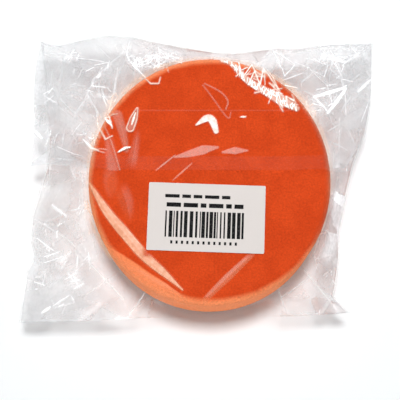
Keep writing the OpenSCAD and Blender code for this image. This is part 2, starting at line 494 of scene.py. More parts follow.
@dataclass(frozen=True)
class StudioFinish(Finish):
    """White paper that shows white to the camera and keeps the object's shadow."""

    paper: Colour = (0.9, 0.925, 0.935)
    lift: float = 0.03
    far: float = 0.6
    near: Point = (0.35, 1.1)

    def build(self) -> bpy.types.Material:
        """Makes the studio paper's material."""
        material, kit, shader, place = self.start()
        path = kit.add("LightPath").outputs
        seen = kit.math("ADD", path["Is Camera Ray"], path["Is Glossy Ray"])
        seen = kit.math("ADD", seen, path["Is Transmission Ray"], clamp=True)
        shader.inputs["Base Color"].default_value = (*self.paper[:3], 1.0)
        shader.inputs["Roughness"].default_value = 1.0
        shader.inputs["Specular IOR Level"].default_value = 0.0
        shader.inputs["Emission Color"].default_value = (1.0, 1.0, 1.0, 1.0)
        away = kit.add("VectorMath", operation="LENGTH")
        kit.put(away.inputs[0], place)
        glow = kit.rise(away.outputs["Value"], *self.near, self.lift, self.far)
        kit.put(shader.inputs["Emission Strength"], kit.math("MULTIPLY", seen, glow))
        return material


# ---- paths and folds in plan ----


@dataclass(frozen=True)
class Path:
    """A line through chosen points in plan."""

    points: tuple[Point, ...]

    def sample(self, count: int, soften: int = 0) -> np.ndarray:
        """Evenly spaced points along the line.

        Args:
            count: how many points.
            soften: how many times the corners are eased.

        Returns:
            The points, one to a row.
        """
        corner = np.array(self.points, float)
        run = np.concatenate([[0.0], np.cumsum(np.hypot(*np.diff(corner, axis=0).T))])
        at = np.linspace(0.0, run[-1], count)
        line = np.column_stack([np.interp(at, run, corner[:, k]) for k in range(2)])
        for _ in range(soften):
            line[1:-1] = (line[:-2] + 2 * line[1:-1] + line[2:]) / 4
        return line

    def eased(self, rounds: int) -> "Path":
        """The same line with its corners cut, so many times over."""
        line = np.array(self.points, float)
        for _ in range(rounds if len(line) > 2 else 0):
            cut = np.stack([line[:-1] * 0.75 + line[1:] * 0.25, line[:-1] * 0.25 + line[1:] * 0.75], axis=1)
            line = np.concatenate([line[:1], cut.reshape(-1, 2)[1:-1], line[-1:]])
        return Path(tuple(map(tuple, line.tolist())))

    def near(self, plan: np.ndarray) -> tuple[np.ndarray, np.ndarray]:
        """How far each place is from the line, and how far along it the nearest point lies.

        Args:
            plan: places in plan, in the last axis.

        Returns:
            The distances, and the shares of the line's length.
        """
        corner = np.array(self.points, float)
        size = np.hypot(*np.diff(corner, axis=0).T)
        run = np.concatenate([[0.0], np.cumsum(size)])
        best = np.full(plan.shape[:-1], np.inf)
        share = np.zeros(plan.shape[:-1])
        for start, end, length, before in zip(corner[:-1], corner[1:], size, run):
            way = (end - start) / length
            along = np.clip((plan - start) @ way, 0.0, length)
            gap = np.linalg.norm(plan - start - along[..., None] * way, axis=-1)
            closer = gap < best
            best = np.where(closer, gap, best)
            share = np.where(closer, (before + along) / run[-1], share)
        return best, share


@dataclass(frozen=True)
class Mark:
    """A fold, milky patch or painted glint of the film, laid on as white."""

    points: tuple[Point, ...]
    widths: tuple[float, ...]
    haze: float = 0.0
    web: float = 0.0
    lift: float = 0.0
    rim: float = 0.0
    soft: float = 0.7
    fade: bool = False
    tone: float = 0.0

    def press(self, plan: np.ndarray, layers: "Layers") -> None:
        """Adds this mark to a sheet's layers.

        Args:
            plan: the sheet's places in plan.
            layers: what is raised.
        """
        middle = [sum(values) / len(values) for values in zip(*self.points)]
        rounds = 2 if math.hypot(*middle) <= CURVED_WITHIN else 0
        gap, share = Path(self.points).eased(rounds).near(plan)
        half = np.interp(share, np.linspace(0.0, 1.0, len(self.widths)), self.widths)
        inside = 1 - smoothstep(gap - half, -self.soft / 2, self.soft / 2)
        if self.fade:
            inside = inside * smoothstep(share, 0.0, 0.35) * (1 - smoothstep(share, 0.65, 1.0))
        # A white line round the mark's border: a painted glint.
        border = np.exp(-(((gap - half) / 0.45) ** 2)) * self.rim
        layers.haze = np.maximum(layers.haze, np.maximum(inside * self.haze, border))
        layers.web = np.maximum(layers.web, inside * self.web)
        layers.tone = layers.tone * (1 + self.tone * inside)
        layers.height = layers.height + self.lift * np.clip(1 - gap / (1.4 * half + 0.4), 0.0, 1.0)


@dataclass
class Layers:
    """What is added to a plain sheet at each of its points."""

    height: np.ndarray
    haze: np.ndarray
    web: np.ndarray
    tone: np.ndarray

    @classmethod
    def empty(cls, plan: np.ndarray) -> "Layers":
        """Layers of nothing for a sheet, which is evenly clear."""
        return cls(*(np.zeros(plan.shape[:-1]) for _ in range(3)), np.ones(plan.shape[:-1]))


@dataclass(frozen=True)
class Creases:
    """Straight sharp folds scattered round the pad, most of them fanning out from it."""

    seed: int
    count: int
    length: Point = (14.0, 55.0)
    width: Point = (1.5, 8.0)
    slope: Point = (0.05, 0.20)
    fan: float = 0.5
    milk_and_glint: float = 0.5
    inner: float = -0.05

    def press(self, plan: np.ndarray, drape: "Drape", layers: Layers) -> None:
        """Adds the folds to a sheet's layers.

        Args:
            plan: the sheet's places in plan.
            drape: the bag's form, for where its margin lies.
            layers: what is raised.
        """
        draw = np.random.default_rng(self.seed)
        for _ in range(self.count):
            angle = draw.uniform(0.0, 2 * math.pi)
            edge = float(drape.reach(np.array(angle)))
            start_r = drape.radius + (edge - drape.radius) * draw.uniform(self.inner, 0.85)
            start = np.array([math.cos(angle), math.sin(angle)]) * start_r
            heading = angle + draw.normal(0.0, self.fan) + (math.pi / 2 if draw.random() < 0.25 else 0.0)
            way = np.array([math.cos(heading), math.sin(heading)])
            length = draw.uniform(*self.length)
            left, right = draw.uniform(*self.width, 2)
            rise = draw.uniform(*self.slope) * min(left, right) * draw.choice([-1.0, 1.0], p=[0.35, 0.65])
            milk_and_glint = self.milk_and_glint * draw.random() ** 2
            away = plan - start
            along = away @ way
            across = away[..., 0] * way[1] - away[..., 1] * way[0]
            held = smoothstep(along, 0.0, 0.3 * length) * (1 - smoothstep(along, 0.6 * length, length))
            tent = np.clip(1 - np.where(across > 0, across / left, -across / right), 0.0, 1.0)
            layers.height = layers.height + rise * tent * held
            # A thin white line along each crease: milky, partly a painted glint.
            layers.haze = np.maximum(layers.haze, milk_and_glint * held * np.exp(-((across / 0.4) ** 2)))


@dataclass(frozen=True)
class Bursts:
    """Knots of short straight creases, where the film has been crushed to a point, painted white as glints.
    """

    seed: int
    knots: tuple[tuple[float, float, float, int], ...]
    width: Point = (0.22, 0.55)
    milk_and_glint: Point = (0.3, 1.0)

    def press(self, plan: np.ndarray, layers: Layers) -> None:
        """Adds the knots to a sheet's layers.

        Args:
            plan: the sheet's places in plan.
            layers: what is raised.
        """
        draw = np.random.default_rng(self.seed)
        for x, y, size, lines in self.knots:
            main = draw.uniform(0.0, math.pi)
            for _ in range(lines):
                heading = main + draw.normal(0.0, 0.7)
                way = np.array([math.cos(heading), math.sin(heading)])
                middle = np.array([x, y]) + draw.normal(0.0, size * 0.45, 2)
                half = size * draw.uniform(0.2, 0.8)
                width, milk_and_glint = draw.uniform(*self.width), draw.uniform(*self.milk_and_glint)
                away = plan - middle
                along = np.abs(away @ way)
                across = away[..., 0] * way[1] - away[..., 1] * way[0]
                held = 1 - smoothstep(along, 0.7 * half, half)
                # Each line's white is a painted glint.
                layers.haze = np.maximum(layers.haze, milk_and_glint * held * np.exp(-((across / width) ** 2)))
                layers.height = layers.height + 0.12 * held * np.clip(1 - np.abs(across) / 1.5, 0.0, 1.0)


@dataclass(frozen=True)
class Facets:
    """Flat planes of uneven clearness between straight folds, as crushed film settles into. Some fold lines
    and planes are painted white, as glints and sheen.
    """

    seed: int
    count: int
    fold: float = 0.9
    reach: float = 5.0
    milk_and_glint: float = 0.85
    line: float = 0.35
    shine: float = 0.4
    clear: Point = (0.35, 1.7)
    ring: float = 90.0
    squash: float = 0.5

    def press(self, plan: np.ndarray, layers: Layers) -> None:
        """Adds the planes to a sheet's layers.

        Args:
            plan: the sheet's places in plan.
            layers: what is raised.
        """
        draw = np.random.default_rng(self.seed)
        angle, out = draw.uniform(-math.pi, math.pi, self.count), draw.uniform(55.0, 150.0, self.count)
        sign, tone = draw.random(self.count), draw.uniform(*self.clear, self.count)
        glow = draw.random(self.count)
        turn = np.arctan2(plan[..., 1], plan[..., 0])[..., None] - angle
        turn = (turn + math.pi) % (2 * math.pi) - math.pi
        further = np.hypot(plan[..., 0], plan[..., 1])[..., None] - out
        gap = np.hypot(self.ring * turn, self.squash * further)
        pair = np.argpartition(gap, 1, axis=-1)[..., :2]
        near, far = np.moveaxis(np.take_along_axis(gap, pair, axis=-1), -1, 0)
        between = angle[pair[..., 0]] - angle[pair[..., 1]]
        between = (between + math.pi) % (2 * math.pi) - math.pi
        apart = np.hypot(self.ring * between, self.squash * (out[pair[..., 0]] - out[pair[..., 1]]))
        edge = np.abs(far**2 - near**2) / (2 * apart)
        mix = sign[pair].sum(axis=-1) % 1.0
        layers.height = layers.height + self.fold * (2 * mix - 1) * np.clip(1 - edge / self.reach, 0.0, 1.0)
        # Some fold lines turn white: painted glints.
        bright = np.clip(2.2 * (mix * 7.3 % 1.0) - 1.2, 0.0, 1.0)
        line = self.milk_and_glint * bright * np.exp(-((edge / self.line) ** 2))
        plane = np.where(near < far, pair[..., 0], pair[..., 1])
        # Some planes take a white painted sheen.
        shine = self.shine * np.clip(3.0 * glow - 2.0, 0.0, 1.0)[plane] * smoothstep(edge, 0.0, 2.5)
        layers.haze = np.maximum(layers.haze, np.maximum(line, shine))
        layers.tone = layers.tone * tone[plane]


@dataclass(frozen=True)
class Crumple:
    """Broad flat facets: leaning zigzags of a few wavelengths laid over each other."""

    seed: int
    waves: tuple[float, ...]
    slope: float

    def height(self, plan: np.ndarray) -> np.ndarray:
        """The facets' height at each place in plan."""
        draw = np.random.default_rng(self.seed)
        total = np.zeros(plan.shape[:-1])
        for wave in self.waves:
            turn, bend, phase, shift = draw.uniform(0.0, math.pi, 4)
            along = plan @ np.array([math.cos(turn), math.sin(turn)])
            cross = plan @ np.array([math.cos(bend), math.sin(bend)])
            wander = 0.22 * np.sin(1.7 * cross / wave + shift)
            zigzag = np.abs((along / wave + phase + wander) % 1.0 - 0.5) * 4 - 1
            total = total + zigzag * wave * self.slope / 4
        return total


# ---- the bag's form ----


@dataclass(frozen=True)
class PadSize:
    """The foam disc's size, from the frame."""

    radius: float
    top: float
    foot: float
    face_edge: float = 5.6
    back_edge: float = 1.5
    face_oval: Point = (0.98, 1.022)

    @classmethod
    def from_frame(cls) -> "PadSize":
        """Reads the CAD disc's box."""
        low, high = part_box("foam_disc")
        return cls(radius=(high.x - low.x) / 2 / MM, top=high.z / MM, foot=low.z / MM)


@dataclass
class Drape:
    """The height of a taut film over and under the pad, out to the bag's outline."""

    pad: PadSize
    outline: np.ndarray
    seam: float
    sag: float = 2.0
    fold_rise: float = 2.0
    full_slope: float = 25.0
    slope_steps: int = 3
    droop: float = 2.0

    def __post_init__(self) -> None:
        """Keeps the outline as a distance for each direction."""
        self.radius = self.pad.radius
        oval = self.outline / np.array(self.pad.face_oval)
        angle = np.arctan2(oval[:, 1], oval[:, 0])
        order = np.argsort(angle)
        self.angles = angle[order]
        self.reaches = np.hypot(oval[:, 0], oval[:, 1])[order]

    def reach(self, angle: np.ndarray) -> np.ndarray:
        """The outline's distance from the axis in each direction."""
        return np.interp(angle, self.angles, self.reaches, period=2 * math.pi)

    def polar(self, plan: np.ndarray) -> tuple[np.ndarray, np.ndarray]:
        """Each place's distance from the axis, with the face made round, and the outline's there."""
        oval = plan / np.array(self.pad.face_oval)
        distance = np.hypot(oval[..., 0], oval[..., 1])
        return distance, self.reach(np.arctan2(oval[..., 1], oval[..., 0]))

    def seam_height(self, plan: np.ndarray) -> np.ndarray:
        """The height of the bag's edge, which waves a little and droops at the corners."""
        x, y = plan[..., 0], plan[..., 1]
        wave = 0.8 * np.sin(x / 17 + 0.6) + 0.5 * np.sin(x / 7.3 + y / 23) + 0.7 * np.sin(y / 13 + 1.9)
        return self.seam + wave - self.droop * smoothstep(np.hypot(x, y), 105.0, 145.0)

    def folds(self, plan: np.ndarray, down: float) -> np.ndarray:
        """The broad folds that run out from the pad, between -1 and 1."""
        turn = np.arctan2(plan[..., 1], plan[..., 0]) / (2 * math.pi)
        waves = ((0.6, 9, 0.2, 0.5), (0.4, 13, 0.7, -0.5))
        return sum(
            share * (np.abs((count * turn + shift + lean * down) % 1.0 * 4 - 2) - 1)
            for share, count, shift, lean in waves
        )

    def slack(self, plan: np.ndarray, down: np.ndarray, length: np.ndarray) -> np.ndarray:
        """How far the film lies below a straight slope of a length, in flat steps down it."""
        total = np.zeros_like(down)
        for step in range(1, self.slope_steps):
            at = step / self.slope_steps
            fall = math.sin(math.pi * at) * (self.sag - self.fold_rise * self.folds(plan, at))
            total = total + fall * np.clip(1 - np.abs(down - at) * self.slope_steps, 0.0, 1.0)
        return np.clip(length / self.full_slope, 0.0, 1.0) * total

    def over(self, plan: np.ndarray, gap: float) -> tuple[np.ndarray, np.ndarray]:
        """A film laid over the pad.

        Args:
            plan: places in plan.
            gap: how far the film stays off the foam.

        Returns:
            The heights, and how far down the slope each place is, from 0 at the pad to 1 at the edge.
        """
        distance, edge = self.polar(plan)
        bend = self.pad.face_edge + gap
        turn_r, turn_z = self.radius - self.pad.face_edge, self.pad.top - self.pad.face_edge
        rim = self.seam_height(plan)
        far = np.hypot(edge - turn_r, turn_z - rim)
        leave = np.arccos(bend / far) - np.arctan2(turn_z - rim, edge - turn_r)
        leave_r, leave_z = turn_r + bend * np.cos(leave), turn_z + bend * np.sin(leave)
        down = np.clip((distance - leave_r) / (edge - leave_r), 0.0, 1.0)
        slope = leave_z + (rim - leave_z) * down - self.slack(plan, down, edge - leave_r)
        arc = turn_z + np.sqrt(np.clip(bend**2 - np.clip(distance - turn_r, 0.0, None) ** 2, 0.0, None))
        held = np.where(distance < turn_r + 0.97 * bend, arc, -np.inf)
        return np.where(distance < leave_r, arc, np.maximum(slope, held)), down

    def under(self, plan: np.ndarray) -> tuple[np.ndarray, np.ndarray]:
        """The film that the pad stands on.

        Args:
            plan: places in plan.

        Returns:
            The heights, and how far up the slope each place is, from 0 at the pad to 1 at the edge.
        """
        distance, edge = self.polar(plan)
        turn = self.radius + 0.6
        out = np.clip((distance - turn) / (edge - turn), 0.0, 1.0)
        foot = 0.1 + self.pad.foot * smoothstep(distance, turn - 2.2, turn)
        sag = 2.0 * np.sin(math.pi * out) * np.clip((edge - turn) / 25, 0.0, 1.0)
        return foot + (self.seam_height(plan) - foot) * out - sag, out


@dataclass(frozen=True)
class SheetCut:
    """A film sheet's four edges in plan, each from left to right or from the foot up."""

    foot: Path
    top: Path
    left: Path
    right: Path
    soften: int = 6

    def plan(self, across: int, along: int) -> np.ndarray:
        """The places of a grid that fills the sheet.

        Args:
            across: cells from left to right.
            along: cells from the foot to the top.

        Returns:
            The places in plan, by row and column.
        """
        foot, top = (edge.sample(across + 1, self.soften)[None] for edge in (self.foot, self.top))
        left, right = (edge.sample(along + 1, self.soften)[:, None] for edge in (self.left, self.right))
        u = np.linspace(0.0, 1.0, across + 1)[None, :, None]
        v = np.linspace(0.0, 1.0, along + 1)[:, None, None]
        sides = (1 - u) * left + u * right
        ends = (1 - v) * foot + v * top
        corners = (1 - v) * ((1 - u) * left[:1] + u * right[:1]) + v * ((1 - u) * left[-1:] + u * right[-1:])
        return sides + ends - corners

    def outline(self) -> np.ndarray:
        """The whole outline, walked once round."""
        foot, right, top, left = (edge.sample(400) for edge in (self.foot, self.right, self.top, self.left))
        return np.concatenate([foot, right, top[::-1], left[::-1]])


BAG_TOP = Path((
    (-108.0, 95.0), (-98.0, 92.0), (-81.0, 96.0), (-66.0, 99.0), (-49.0, 98.0), (-20.0, 91.0), (-3.0, 88.0),
    (18.0, 86.0), (43.0, 90.0), (58.0, 90.0), (79.0, 93.0), (105.0, 94.0),
))
BAG_CUT = SheetCut(
    foot=Path(((-116.0, -85.0), (-73.0, -84.0), (-42.0, -82.0), (0.0, -82.0), (55.0, -81.0), (85.0, -79.0))),
    top=BAG_TOP,
    left=Path((
        (-116.0, -85.0), (-112.0, -53.0), (-107.0, -44.0), (-110.0, -35.0), (-110.0, -21.0), (-101.0, 13.0),
        (-101.0, 34.0), (-103.0, 62.0), (-108.0, 95.0),
    )),
    right=Path((
        (85.0, -79.0), (75.0, -70.0), (77.0, -64.0), (80.0, -44.0), (80.0, -27.0), (84.0, -10.0),
        (90.0, 14.0), (98.0, 33.0), (103.0, 56.0), (104.0, 73.0), (105.0, 94.0),
    )),
)
FLAP_CUT = SheetCut(
    foot=Path((
        (-112.0, 13.0), (-100.0, 13.0), (-66.0, 5.0), (-42.0, 4.0), (48.0, 4.0), (73.0, 5.0), (89.0, 10.0),
    )),
    top=BAG_TOP,
    left=Path(((-112.0, 13.0), (-111.0, 42.0), (-112.0, 62.0), (-111.0, 77.0), (-108.0, 95.0))),
    right=Path(((89.0, 10.0), (90.0, 14.0), (98.0, 33.0), (103.0, 56.0), (104.0, 73.0), (105.0, 94.0))),
)


def flap_outline() -> np.ndarray:
    """The outline that the flap slopes to: the bag's, but for the left side, where the flap is wider."""
    beside = np.concatenate([FLAP_CUT.left.sample(300), FLAP_CUT.top.sample(400), FLAP_CUT.right.sample(300)])
    rest = BAG_CUT.outline()
    return np.concatenate([beside, rest[rest[:, 1] < 0.0]])


def straight(*rows: tuple[float, ...]) -> tuple[Mark, ...]:
    """Straight creases, each given by its two ends, half its width, its whiteness, milky and painted glint
    alike, and its softness.
    """
    return tuple(
        Mark(((x, y), (end_x, end_y)), (0.6 * half, half, 0.6 * half), haze=haze, soft=soft)
        for x, y, end_x, end_y, half, haze, soft in rows
    )


# The front panel's marks. Many white streaks and glints here are painted highlights, the film's reflections
# laid on as white; the rest are milky creases and raised folds.
FRONT_MARKS = (
    Mark(((-72.0, -3.0), (-62.0, -20.0), (-50.0, -34.0), (-38.0, -48.0), (-27.0, -57.0), (-16.0, -67.0)),
         (0.3, 2.0, 2.7, 2.7, 1.9, 0.0), haze=0.56, lift=0.7, rim=0.68, soft=0.5),
    Mark(((25.0, -46.0), (7.0, -63.0), (-3.0, -73.0)), (1.6, 2.2, 1.6), haze=0.18, lift=0.3),
    Mark(((-55.0, -3.0), (-50.0, -13.0), (-47.0, -28.0)),
         (4.5, 4.0, 1.2), haze=0.05, lift=0.5, soft=3.0, fade=True),
    Mark(((-61.0, 10.0), (-58.0, -14.0)), (2.5, 4.0, 2.0), haze=0.06, soft=3.5, fade=True),
    Mark(((-59.0, -46.0), (-45.0, -58.0), (-33.0, -65.0), (-11.0, -76.0)), (0.5, 4.5, 4.8, 1.5), haze=0.1),
    Mark(((-72.0, -24.0), (-68.0, -34.0), (-59.0, -47.0)), (0.6, 1.6, 1.2), haze=0.3, soft=1.0),
    Mark(((-110.0, -22.0), (-77.0, -41.0), (-50.0, -76.0)), (1.0, 3.0, 1.0), haze=0.12, soft=3.0),
    Mark(((-92.0, -34.0), (-80.0, -58.0), (-40.0, -80.0)), (5.0, 8.0, 3.0), tone=-0.9, soft=12.0),
    # Milkier film beside the pad's right side, painted lighter over the shade there.
    Mark(((77.0, 14.0), (80.0, -18.0), (73.0, -46.0)), (4.0, 6.0, 4.0), tone=1.8, soft=9.0),
    # A pale band along the pad's lower-left rim, painted over the shade there.
    Mark(((-78.0, -8.0), (-77.0, -26.0), (-68.0, -45.0)), (2.0, 3.0, 2.0), haze=0.32, soft=4.0),
    Mark(((-110.0, -20.0), (-84.0, -37.0), (-52.0, -71.0)), (0.4, 0.5, 0.4), haze=0.5, lift=0.8),
    *straight(
        (-22.0, -1.0, -11.0, 9.0, 0.4, 0.25, 0.6), (-110.0, -21.0, -92.0, -31.0, 1.4, 0.25, 2.0),
        (-97.0, -13.0, -88.0, -21.0, 1.0, 0.8, 0.7), (-97.0, -13.0, -92.0, -4.0, 0.3, 0.35, 0.7),
        (-107.0, -33.0, -96.0, -41.0, 0.6, 0.8, 0.7), (-102.0, -45.0, -91.0, -42.0, 0.7, 0.75, 0.7),
        (-104.0, -41.0, -98.0, -44.0, 0.4, 0.6, 0.7), (-91.0, -49.0, -89.0, -46.0, 0.6, 0.8, 0.7),
        (-80.0, -45.0, -80.0, -53.0, 0.7, 0.75, 0.7), (-86.0, -55.0, -76.0, -62.0, 0.7, 0.5, 0.7),
        (-76.0, -62.0, -82.0, -65.0, 0.6, 0.85, 0.7), (-95.0, -75.0, -85.0, -69.0, 0.6, 0.8, 0.7),
        (-84.0, -69.0, -82.0, -73.0, 0.5, 0.8, 0.7), (-94.0, -76.0, -82.0, -73.0, 0.8, 0.5, 0.7),
        (-102.0, -79.0, -97.0, -76.0, 1.2, 0.75, 0.7), (-116.0, -84.0, -79.0, -83.0, 0.8, 0.4, 1.2),
        (-100.0, 13.0, -100.0, -4.0, 0.8, 0.4, 1.2), (-101.0, 0.0, -109.0, -18.0, 0.8, 0.35, 1.4),
        (-86.0, 11.0, -82.0, 2.0, 1.4, 0.4, 1.2), (-88.0, -3.0, -79.0, -10.0, 0.4, 0.3, 0.7),
        (-79.0, -10.0, -75.0, 0.0, 0.4, 0.3, 0.7), (75.0, -22.0, 79.0, -27.0, 0.8, 0.3, 1.2),
        (63.0, -42.0, 65.0, -55.0, 0.6, 0.3, 1.0), (67.0, -81.0, 75.0, -70.0, 1.6, 0.4, 1.5),
        (56.0, -79.0, 71.0, -80.0, 0.8, 0.35, 1.2), (75.0, -71.0, 84.0, -77.0, 0.4, 0.4, 0.7),
    ),
)
# The flap's marks. Many white hooks, loops, webs and glints here are painted highlights, the film's
# reflections laid on as white; the rest are milky creases and raised folds.
FLAP_MARKS = (
    Mark(((-44.0, 43.0), (-46.0, 37.0), (-48.0, 31.0)),
         (0.5, 2.0, 2.2), haze=0.22, rim=0.75, lift=1.5, soft=0.6),
    Mark(((-56.0, 39.0), (-53.0, 30.0), (-50.0, 17.0)), (3.0, 2.4, 1.4), haze=0.16, lift=1.2, soft=1.6),
    Mark(((-55.0, 16.0), (-52.0, 18.0), (-48.0, 19.0)), (0.4, 0.9, 0.4), haze=0.8, web=0.6, lift=1.0),
    Mark(((-63.0, 37.0), (-59.0, 32.0)), (0.6, 0.9, 0.4), haze=0.95, lift=0.6),
    Mark(((-43.0, 32.0), (-45.0, 18.0), (-48.0, 5.0)),
         (1.0, 2.2, 3.2), haze=0.08, lift=0.5, soft=2.5, fade=True),
    Mark(((-64.0, 33.0), (-59.0, 22.0), (-54.0, 5.0)), (0.4, 0.6, 0.4), haze=0.22, lift=0.4),
    Mark(((-61.0, 24.0), (-58.0, 6.0)), (2.0, 3.0, 3.4), haze=0.09, soft=3.0),
    Mark(((-21.0, 13.0), (-12.0, 15.0), (-2.0, 18.0), (5.0, 19.0)), (0.5, 2.0, 2.8, 0.6), haze=0.17),
    Mark(((8.0, 16.0), (14.0, 17.0), (23.0, 17.0)), (0.6, 2.2, 0.4), haze=0.17),
    Mark(((-3.0, 59.0), (7.0, 54.0), (12.0, 48.0), (10.0, 43.0)), (0.3, 0.3), haze=0.2),
    Mark(((-4.0, 58.0), (2.0, 50.0), (12.0, 35.0), (13.0, 41.0)), (0.3, 0.2), haze=0.16),
    Mark(((-8.0, 33.0), (-1.0, 38.0), (2.0, 36.0), (4.0, 29.0)),
         (0.6, 2.0, 2.4, 1.6), haze=0.72, lift=0.4, soft=0.6),
    Mark(((-44.0, 42.0), (52.0, 42.0)), (0.2, 0.2), haze=0.05, soft=0.6),
    Mark(((7.0, 73.0), (14.0, 72.0), (22.0, 61.0), (38.0, 52.0), (53.0, 43.0)),
         (0.5, 1.8, 2.0, 2.5, 3.4, 1.6),
         haze=0.5, web=0.7, lift=1.0, soft=1.2),
    Mark(((18.0, 72.0), (20.0, 62.0), (26.0, 71.0), (31.0, 58.0), (33.0, 69.0), (38.0, 61.0), (43.0, 54.0)),
         (0.5, 0.4, 0.5, 0.3), haze=0.85, lift=0.5, soft=0.6),
    Mark(((-48.0, 78.0), (-42.0, 74.0), (-34.0, 75.0), (-15.0, 81.0)), (3.5, 7.0, 5.0, 1.0),
         haze=0.18, web=0.35, soft=2.0),
    Mark(((-52.0, 80.0), (-45.0, 83.0), (-31.0, 85.0), (-13.0, 82.0)), (0.4, 0.5, 0.3), haze=0.5),
    Mark(((-104.0, 94.0), (-78.0, 80.0), (-66.0, 71.0)), (0.6, 2.0, 1.0), haze=0.2, soft=3.0),
    Mark(((-112.0, 54.0), (-102.0, 69.0), (-95.0, 81.0)), (0.4, 1.4, 0.6), haze=0.18, soft=2.0),
    Mark(((-66.0, 71.0), (-72.0, 58.0), (-81.0, 43.0), (-92.0, 16.0)),
         (1.6, 2.6, 1.4, 0.8), haze=0.22, soft=3.0),
    Mark(((-39.0, 62.0), (-36.0, 59.0), (-31.0, 59.0), (-30.0, 63.0)), (0.4, 0.5, 0.3), haze=0.6, soft=0.6),
    Mark(((-104.0, 86.0), (-82.0, 81.0), (-68.0, 73.0)), (0.6, 1.1, 0.8), haze=0.34, lift=0.5, soft=1.6),
    Mark(((-51.0, 86.0), (-72.0, 65.0), (-76.0, 52.0), (-84.0, 40.0)),
         (0.5, 1.0, 0.8, 0.5), haze=0.5, lift=1.2, soft=1.2),
    Mark(((-57.0, 72.0), (-58.0, 57.0), (-61.0, 41.0)), (0.4, 0.8, 0.5), haze=0.6, lift=0.6),
    Mark(((-68.0, 34.0), (-63.0, 24.0), (-59.0, 26.0)), (0.5, 0.6, 0.4), haze=0.6),
    Mark(((-77.0, 26.0), (-71.0, 19.0), (-67.0, 17.0)), (0.6, 1.1, 0.5), haze=0.75),
    Mark(((-105.0, 86.0), (-94.0, 92.0), (-73.0, 93.0)), (0.4, 0.6, 0.3), haze=0.3),
    Mark(((54.0, 76.0), (51.0, 71.0), (46.0, 65.0)), (0.4, 0.5, 0.4), haze=0.8),
    Mark(((72.0, 67.0), (75.0, 76.0), (71.0, 87.0)), (0.5, 0.4, 0.3), haze=0.7),
    Mark(((70.0, 92.0), (83.0, 70.0), (84.0, 57.0)), (0.4, 0.5, 0.3), haze=0.75),
    Mark(((73.0, 85.0), (80.0, 83.0), (76.0, 73.0), (82.0, 67.0)), (0.3, 0.4, 0.3), haze=0.7),
    Mark(((75.0, 88.0), (78.0, 76.0), (75.0, 66.0)), (0.3, 0.3), haze=0.6),
    Mark(((84.0, 91.0), (95.0, 84.0), (84.0, 76.0)), (0.3, 0.3), haze=0.7),
    Mark(((57.0, 62.0), (65.0, 70.0), (73.0, 61.0)), (0.4, 0.4), haze=0.6),
    *straight(
        (-45.0, 40.0, -47.0, 33.0, 0.8, 0.8, 0.6), (19.0, 38.0, 22.0, 38.0, 0.6, 0.75, 0.5),
        (-32.0, 5.0, -21.0, 14.0, 0.4, 0.22, 0.6), (-52.0, 80.0, -39.0, 63.0, 0.7, 0.8, 0.7),
        (-94.0, 54.0, -94.0, 22.0, 2.4, 0.2, 2.6), (-50.0, 81.0, -69.0, 62.0, 3.0, 0.16, 2.5),
        (-72.0, 91.0, -61.0, 78.0, 0.3, 0.7, 0.7), (-93.0, 81.0, -94.0, 55.0, 1.6, 0.3, 2.2),
        (-94.0, 55.0, -100.0, 46.0, 1.4, 0.28, 1.6), (-94.0, 55.0, -82.0, 42.0, 0.4, 0.55, 0.8),
        (-111.0, 36.0, -105.0, 30.0, 1.6, 0.7, 0.8), (-76.0, 56.0, -66.0, 38.0, 0.6, 0.55, 0.7),
        (-53.0, 78.0, -59.0, 61.0, 1.4, 0.35, 1.4), (-61.0, 39.0, -59.0, 31.0, 0.6, 0.8, 0.7),
        (-89.0, 37.0, -92.0, 18.0, 0.9, 0.45, 1.2), (41.0, 88.0, 46.0, 66.0, 0.6, 0.9, 0.7),
        (41.0, 88.0, 54.0, 76.0, 0.5, 0.9, 0.7), (42.0, 83.0, 46.0, 66.0, 0.3, 0.6, 0.7),
        (43.0, 84.0, 50.0, 72.0, 0.3, 0.5, 0.7), (54.0, 78.0, 72.0, 67.0, 0.4, 0.85, 0.7),
        (84.0, 76.0, 105.0, 93.0, 0.4, 0.7, 0.7), (91.0, 92.0, 95.0, 84.0, 0.5, 0.75, 0.7),
        (96.0, 93.0, 105.0, 93.0, 0.3, 0.5, 0.7), (86.0, 62.0, 64.0, 52.0, 1.4, 0.85, 0.9),
        (64.0, 52.0, 73.0, 44.0, 0.8, 0.9, 0.7), (73.0, 43.0, 86.0, 61.0, 1.4, 0.85, 0.9),
        (75.0, 57.0, 76.0, 47.0, 0.4, 0.8, 0.7), (80.0, 59.0, 77.0, 49.0, 0.4, 0.7, 0.7),
        (94.0, 60.0, 103.0, 69.0, 1.4, 0.7, 1.0), (101.0, 53.0, 96.0, 41.0, 0.6, 0.7, 0.7),
        (82.0, 45.0, 89.0, 57.0, 0.7, 0.5, 1.0), (45.0, 62.0, 59.0, 69.0, 0.5, 0.7, 0.7),
        (33.0, 75.0, 34.0, 58.0, 0.4, 0.8, 0.7), (34.0, 72.0, 43.0, 54.0, 0.4, 0.8, 0.7),
    ),
)


